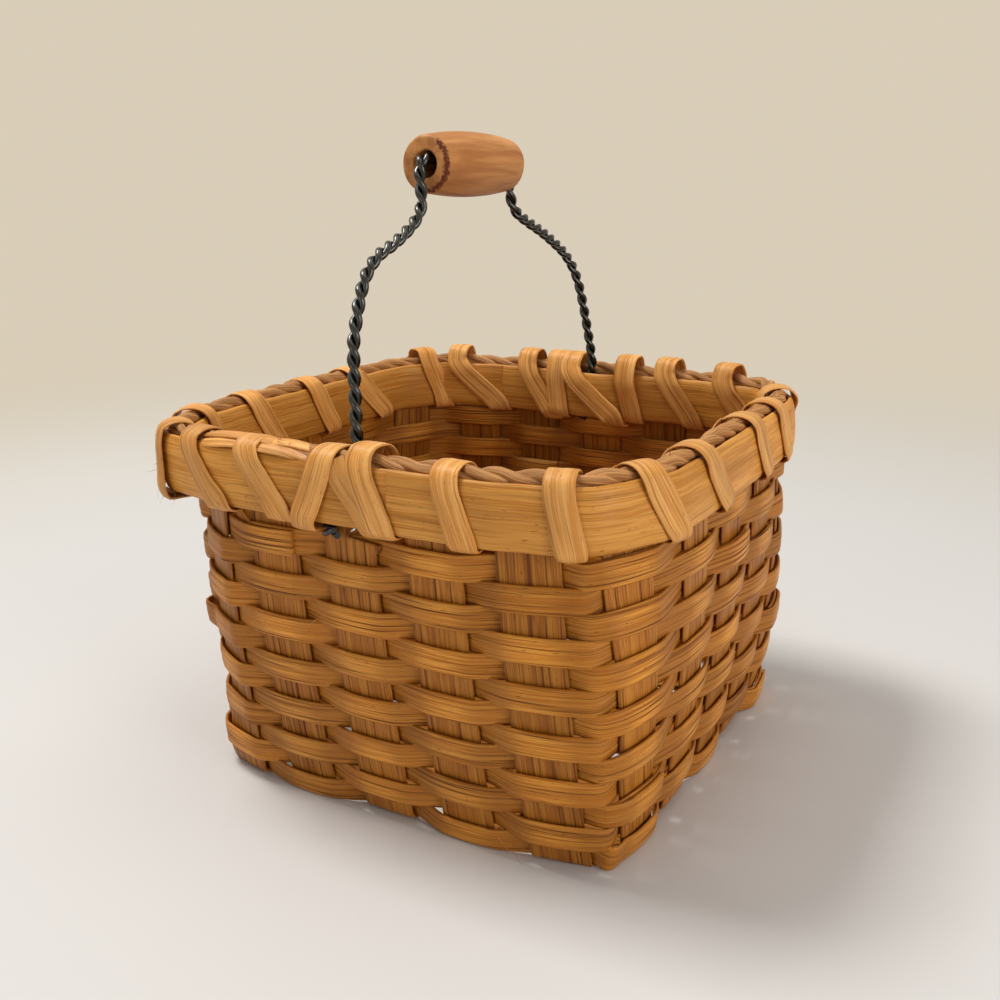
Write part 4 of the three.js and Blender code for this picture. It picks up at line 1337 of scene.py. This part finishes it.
# Loose fibres: where each springs from (upright, height, out), where it goes, its length and curl
FIBRES = (
    (9.42, 56.0, 1.4, (0.2, 1.0, 0.25), 7.5, 0.6),
    (9.45, 55.2, 1.3, (0.5, 0.9, -0.2), 5.0, -0.8),
    (4.5, 41.0, 1.5, (0.6, 0.7, -0.5), 4.2, 0.7),
    (4.55, 42.0, 1.4, (-0.5, 0.8, 0.4), 3.2, -0.5),
    (3.35, 4.0, 1.6, (1.0, 0.3, -0.3), 8.0, 0.4),
    (3.5, 3.0, 1.6, (1.0, 0.4, 0.1), 6.0, -0.5),
    (0.9, 71.5, 4.4, (1.0, 0.25, 0.8), 5.0, 0.3),
    (0.95, 70.8, 4.3, (1.0, 0.4, 0.5), 3.4, -0.3),
    (1.15, 85.4, 0.5, (1.0, 0.3, 0.4), 5.5, 0.7),
    (1.2, 85.2, 1.3, (1.0, 0.6, 0.2), 4.6, -0.6),
    (1.22, 85.0, 2.0, (1.0, 0.8, 0.1), 3.6, 0.5),
    (1.4, 84.8, 2.6, (0.8, 0.7, 0.6), 3.5, 0.8),
    (2.5, 85.2, 1.0, (0.7, 0.5, 0.6), 3.0, -0.7),
    (3.45, 85.0, 1.6, (0.8, 0.6, 0.3), 3.4, 0.6),
    (5.4, 85.0, 1.2, (-0.6, 0.5, 0.6), 3.2, 0.7),
    (2.4, 30.5, 1.2, (0.5, 0.9, 0.4), 2.6, 0.6),
    (1.5, 47.0, 1.2, (-0.6, 0.9, -0.3), 2.8, -0.6),
    (6.5, 33.0, 1.2, (0.4, 0.9, 0.2), 3.0, 0.5),
)
DARK_FIBRES = (
    (4.42, 3.2, 2.3, (0.7, 0.5, 0.6), 2.6, 0.5),
    (4.46, 3.6, 2.4, (0.4, 0.8, 0.4), 2.1, -0.6),
    (4.5, 2.8, 2.5, (-0.5, 0.7, 0.5), 2.4, 0.7),
    (4.53, 3.9, 2.4, (0.9, 0.4, -0.3), 2.0, -0.4),
    (4.56, 2.4, 2.3, (0.6, 0.6, -0.5), 2.2, 0.8),
    (4.48, 4.6, 2.2, (0.2, 0.9, 0.1), 1.8, -0.8),
    (4.6, 3.4, 2.2, (1.0, 0.3, 0.2), 2.7, 0.4),
    (4.4, 4.1, 2.2, (-0.9, 0.5, 0.1), 2.0, 0.6),
)
LINT = (
    (19.4, 74.0, 4.4, (-0.3, 0.9, -0.6), 4.0, 0.9),
    (19.5, 72.0, 4.5, (-0.3, 0.8, -0.9), 4.5, -0.8),
    (19.6, 71.0, 4.4, (0.4, 0.6, -1.0), 4.2, 0.9),
    (19.45, 70.0, 4.3, (-0.7, 0.5, -0.6), 3.4, -0.9),
    (19.55, 76.0, 4.4, (0.3, 0.9, 0.1), 3.0, 0.8),
    (19.7, 69.8, 4.2, (0.7, 0.5, -0.8), 3.6, -0.7),
)


class SPLINTBASKET_OT_fibres(bpy.types.Operator):
    """Loose fibres that stand off the splints, a dark frayed end and some lint"""

    bl_idname = "splintbasket.fibres"
    bl_label = "Loose fibres"

    def execute(self, context):
        c = colours()
        look = {"Strands": 1, "Twist_Radius": 0.0, "Pitch": 1.0, "Lumps": 0.0, "Sides": 6}
        for name, table, radius, material, tint in (
            ("loose_fibres", FIBRES, 0.09, "loose_fibre", c.frayed),
            ("frayed_end", DARK_FIBRES, 0.16, "dark_fibre", c.splint_dark),
            ("rim_lint", LINT, 0.05, "lint_fibre", c.lint),
        ):
            rails = [self.strand(salt, *row) for salt, row in enumerate(table)]
            look["Strand_Radius"] = radius * MM
            add_cord(name, rails, finish(material, fill_fibre, tint), look, "basket")
        return {"FINISHED"}

    def strand(self, salt, place, z, off, way, reach, curl):
        k = math.floor(place)
        here, there = face_of(k, z), face_of(k + 1, z)
        t = place - k
        out, along = unit(mix(here[2], there[2], t)), unit(mix(here[1], there[1], t))
        on_wall = mix(here[0], there[0], t) + out * off
        at = rim().point(rim().at_place(place), off, z) if z > RIM_BOTTOM else on_wall
        shake = Jitter(600 + salt)
        go = unit(along * way[0] + out * way[1] + np.array([0, 0, way[2]]))
        bend = unit(np.cross(go, out + along * 0.3))
        rows = []
        for share in (0.0, 0.2, 0.4, 0.6, 0.8, 1.0):
            push = bend * curl * reach * share * share * 0.5 + go * reach * share
            wobble = np.array([shake(0.12) for _ in range(3)]) * reach * share * 0.5
            rows.append([*(at + push + wobble), *bend, 0, 0, 0, 1.0 - 0.75 * share, 0.0])
        return rail(rows, 0.25, seed=salt)


# The legs' free points as shares: out from the grip's end to the leg's foot, and up from there to the bore
NEAR_ROUTE = (
    (0.997, 0.06), (0.971, 0.149), (0.936, 0.284), (0.902, 0.378), (0.846, 0.457), (0.772, 0.543),
    (0.695, 0.603), (0.586, 0.652), (0.411, 0.693), (0.257, 0.738), (0.149, 0.782), (0.09, 0.83),
    (0.077, 0.887), (0.069, 0.94), (0.04, 0.982), (-0.013, 0.998),
)
FAR_ROUTE = (
    (0, 0.996), (0.039, 0.972), (0.053, 0.929), (0.051, 0.879), (0.065, 0.826), (0.115, 0.777),
    (0.244, 0.732), (0.406, 0.684), (0.571, 0.626), (0.7, 0.571), (0.802, 0.502), (0.864, 0.431),
    (0.922, 0.31), (0.97, 0.17), (0.998, 0.074),
)


def bail_places():
    """The wire's centre line: near hook, near leg, through the grip, far leg, far hook."""

    def wall_y(k, off, z):
        at, _, out, _ = face_of(k, z)
        return (at + out * off - OFFSET)[1]

    def hook(k, leg_x):
        bend = HOOK_Z + HOOK_TURN
        slack = HOOK_TURN * (1 - math.sqrt(0.5))
        tip = [
            (HOOK_X + 3.6, 2.3, HOOK_Z),
            (HOOK_X + 2, 2.3, HOOK_Z),
            (HOOK_X + 0.6, 1.75, HOOK_Z),
            (HOOK_X, 0.5, HOOK_Z),
            (HOOK_X, HOOK_TURN - WIRE_IN, HOOK_Z),
            (HOOK_X, slack - WIRE_IN, HOOK_Z + slack),
            (HOOK_X, -WIRE_IN, bend),
        ]
        leg = [(mix(HOOK_X, leg_x, s), -WIRE_IN, mix(bend, LEG_TOP, s)) for s in (0.3, 0.65, 1.0)]
        return [(x, wall_y(k, off, z), z) for x, off, z in (*tip, *leg)]

    def free(route, k, leg_x, grip_y):
        foot = wall_y(k, -WIRE_IN, LEG_TOP)
        made = []
        for out, rise in route:
            z = mix(LEG_TOP, WIRE_Z, rise)
            x = mix(leg_x, GRIP_X, (z - LEG_TOP) / (GRIP_Z - LEG_TOP))
            made.append((x, mix(grip_y, foot, out), z))
        return made

    x = mix(LEG_X[0], GRIP_X, (WIRE_Z - LEG_TOP) / (GRIP_Z - LEG_TOP))
    bore = [(x, mix(*GRIP_ENDS, s), WIRE_Z) for s in (0.125, 0.36, 0.645, 0.893)]
    places = [
        *hook(NEAR, LEG_X[0]),
        *free(NEAR_ROUTE, NEAR, LEG_X[0], GRIP_ENDS[0]),
        *bore,
        *free(FAR_ROUTE, FAR, LEG_X[1], GRIP_ENDS[1]),
        *hook(FAR, LEG_X[1])[::-1],
    ]
    return np.array(places) + OFFSET


class SPLINTBASKET_OT_bail(bpy.types.Operator):
    """The two handle wires, twisted together"""

    bl_idname = "splintbasket.bail"
    bl_label = "Handle wires"

    def execute(self, context):
        path, _ = follow(bail_places(), 0.5)
        # One facing is carried along the path without turning about it.
        tangent = np.gradient(path, axis=0)
        tangent /= np.linalg.norm(tangent, axis=1)[:, None]
        facing, held = [], np.array([1.0, 0, 0])
        for t in tangent:
            held = unit(held - t * held.dot(t))
            facing.append(held)
        look = {
            "Strands": 1,
            "Strand_Radius": mm("wire_strand") * MM,
            "Twist_Radius": WIRE_TWIST * MM,
            "Pitch": -mm("wire_pitch") * MM,
            "Lumps": 0.0,
            "Sides": 14,
        }
        for i, name in enumerate(("bail_wire_1", "bail_wire_2")):
            look["Phase"] = i * math.pi
            rails = [cord_rail(path, facing, 0.35, seed=5.0)]
            add_cord(name + "_coated", rails, wire_finish(), look, "bail", name)
        return {"FINISHED"}


class SPLINTBASKET_OT_grip(bpy.types.Operator):
    """The turned wooden grip with its bore"""

    bl_idname = "splintbasket.grip"
    bl_label = "Grip"

    def execute(self, context):
        end_r, mid_r, rounding = mm("grip_end"), mm("grip_middle"), GRIP_ROUND
        middle = np.array([GRIP_X, sum(GRIP_ENDS) / 2, GRIP_Z]) + OFFSET
        half = (GRIP_ENDS[1] - GRIP_ENDS[0]) / 2
        flat_r = end_r - rounding
        shares = (0.12, 0.4, 0.7, 1.0)

        def rounded(end, degrees):
            """A point of one end's rounded edge: -1 is the near end, 1 the far one."""
            angle = math.radians(degrees)
            return flat_r + rounding * math.sin(angle), end * (half - rounding + rounding * math.cos(angle))

        profile = [(BORE, y) for y in np.linspace(half, -half, 12)]
        profile += [(mix(BORE, flat_r, share), -half) for share in shares]
        profile += [rounded(-1, degrees) for degrees in (25, 50, 75)]
        for y in np.linspace(-half + 0.8, half - 0.8, 46):
            profile.append((mid_r - (mid_r - end_r) * (y / half) ** 2, y))
        profile += [rounded(1, degrees) for degrees in (75, 50, 25)]
        profile += [(mix(BORE, flat_r, share), half) for share in reversed(shares)]
        around = 96
        shake = Jitter(501)
        wave = [(shake(0.06), shake(3.0)) for _ in range(5)]
        verts, char, crack = [], [], []
        for r, y in profile:
            outside = r > BORE
            for i in range(around):
                angle = 2 * math.pi * i / around
                waves = (w * math.sin((n + 2) * angle + p + y * 0.05) for n, (w, p) in enumerate(wave))
                radius = r + (sum(waves) * 0.6 if outside else 0.0)
                spoke = np.array([radius * math.cos(angle), y, radius * math.sin(angle)])
                verts.append(tuple((middle + spoke) * MM))
                from_edge = abs(math.hypot(r - end_r + 0.5, (abs(y) - half) * 0.8))
                # The scorch shows on the +X side of the near end, and all round the far end.
                scorched = smooth((math.cos(angle + 0.25) + 0.15) / 0.6) if y < 0 else 1.0
                char.append((1 - smooth(from_edge / 2.2)) * scorched if outside else 0.5)
                off_crack = (angle - 1.95 + 0.05 * math.sin(y * 0.3)) / 0.02
                crack.append(math.exp(-(off_crack**2)) if -6 < y < 11 else 0.0)
        faces = []
        count = len(profile)
        for j in range(count):
            for i in range(around):
                near, far = j * around, ((j + 1) % count) * around
                beside = (i + 1) % around
                faces.append((near + i, near + beside, far + beside, far + i))
        mesh = bpy.data.meshes.new("grip_turned")
        mesh.from_pydata(verts, [], faces)
        write(mesh, "char", char)
        write(mesh, "crack", crack)
        face_outward(mesh)
        mesh.shade_smooth()
        mesh.materials.append(grip_finish())
        settle(add_object("grip_turned", mesh), "grip", "grip")
        return {"FINISHED"}


# The stage, in metres and radians
LAMP_TINT = (1.0, 0.985, 0.965)
LAMP_TARGET = Vector((0, 0, 0.05))
CAMERA_PLACE = Vector((0.131783, -0.230075, 0.135))
CAMERA_TURN = (0.518, 0.280, -0.011)
CAMERA_LENS = 39.78
ROOM_LIGHT = 0.25

# Each lamp: its name, its place, its size in metres and its power in watts
LAMPS = (
    ("left_key", (-0.5, -0.07, 1.05), 0.34, 10.0),
    ("overhead", (0.15, 0.15, 1.0), 0.8, 2.5),
    ("front_panel", (-0.2, -0.95, 0.2), 0.4, 1.0),
    ("right_panel", (0.95, -0.25, 0.25), 0.5, 4.6),
)


class SPLINTBASKET_OT_stage(bpy.types.Operator):
    """The pale floor, the backdrop, the lamps and the camera"""

    bl_idname = "splintbasket.stage"
    bl_label = "Stage"

    def execute(self, context):
        scene = context.scene
        mesh = bpy.data.meshes.new("floor")
        r, z = 2.5, -0.0002
        mesh.from_pydata([(-r, -r, z), (r, -r, z), (r, r, z), (-r, r, z)], [], [(0, 1, 2, 3)])
        mesh.materials.append(floor_finish())
        add_object("floor", mesh)
        for lamp in LAMPS:
            self.lamp(*lamp)
        self.sky(scene)
        self.camera(scene)
        return {"FINISHED"}

    def lamp(self, name, place, size, power):
        data = bpy.data.lights.new(name, "AREA")
        data.size = size
        data.energy = power
        data.color = LAMP_TINT
        made = add_object(name, data)
        made.location = place
        made.rotation_mode = "QUATERNION"
        made.rotation_quaternion = (LAMP_TARGET - Vector(place)).to_track_quat("-Z", "Y")

    def sky(self, scene):
        world = bpy.data.worlds.new("soft_room")
        scene.world = world
        world.use_nodes = True
        tree = world.node_tree
        tree.nodes.clear()
        rays = put(tree, "ShaderNodeLightPath", out=None)
        seen = calc(tree, "MAXIMUM", rays.outputs["Is Camera Ray"], rays.outputs["Is Glossy Ray"])
        seen = calc(tree, "MAXIMUM", seen, rays.outputs["Is Transmission Ray"])
        light = put(tree, "ShaderNodeBackground", {0: (*LAMP_TINT, 1), 1: ROOM_LIGHT})
        shown = put(tree, "ShaderNodeBackground", {0: colours().backdrop, 1: 1.0})
        mixed = put(tree, "ShaderNodeMixShader", {0: seen, 1: light, 2: shown})
        output = tree.nodes.new("ShaderNodeOutputWorld")
        tree.links.new(mixed, output.inputs[0])
        scene.view_settings.view_transform = "Standard"

    def camera(self, scene):
        yaw, pitch, roll = CAMERA_TURN
        level = math.cos(pitch)
        ahead = Vector((-math.sin(yaw) * level, math.cos(yaw) * level, -math.sin(pitch)))
        right = Vector((math.cos(yaw), math.sin(yaw), 0.0))
        up = right.cross(ahead)
        across = right * math.cos(roll) + up * math.sin(roll)
        above = -right * math.sin(roll) + up * math.cos(roll)
        data = bpy.data.cameras.new("camera")
        data.sensor_width = 36.0
        data.lens = CAMERA_LENS
        data.clip_start = 0.01
        made = add_object("camera", data)
        basis = Matrix((across, above, -ahead)).transposed().to_4x4()
        basis.translation = CAMERA_PLACE
        made.matrix_world = basis
        scene.camera = made


# The stage comes first, then the pieces in the order in which they are made.
OPERATORS = (
    SPLINTBASKET_OT_stage,
    SPLINTBASKET_OT_uprights,
    SPLINTBASKET_OT_rows,
    SPLINTBASKET_OT_bands,
    SPLINTBASKET_OT_rush,
    SPLINTBASKET_OT_lashing,
    SPLINTBASKET_OT_fibres,
    SPLINTBASKET_OT_bail,
    SPLINTBASKET_OT_grip,
)


class SPLINTBASKET_PT_panel(bpy.types.Panel):
    """Sizes, colours and the buttons that make each group of pieces"""

    bl_idname = "SPLINTBASKET_PT_panel"
    bl_label = "Splint basket"
    bl_space_type = "VIEW_3D"
    bl_region_type = "UI"
    bl_category = "Basket"

    def draw(self, context):
        for operator in OPERATORS:
            self.layout.operator(operator.bl_idname)
        for group in (context.scene.basket_sizes, context.scene.basket_colours):
            box = self.layout.box()
            for name in group.bl_rna.properties.keys():
                if name not in ("rna_type", "name"):
                    box.prop(group, name)


CLASSES = (BasketSizes, BasketColours, *OPERATORS, SPLINTBASKET_PT_panel)


def register():
    for made in CLASSES:
        bpy.utils.register_class(made)
    bpy.types.Scene.basket_sizes = PointerProperty(type=BasketSizes)
    bpy.types.Scene.basket_colours = PointerProperty(type=BasketColours)


def unregister():
    del bpy.types.Scene.basket_colours
    del bpy.types.Scene.basket_sizes
    for made in reversed(CLASSES):
        bpy.utils.unregister_class(made)


def main():
    register()
    for operator in OPERATORS:
        getattr(bpy.ops.splintbasket, operator.bl_idname.split(".")[1])()


if __name__ == "__main__":
    main()
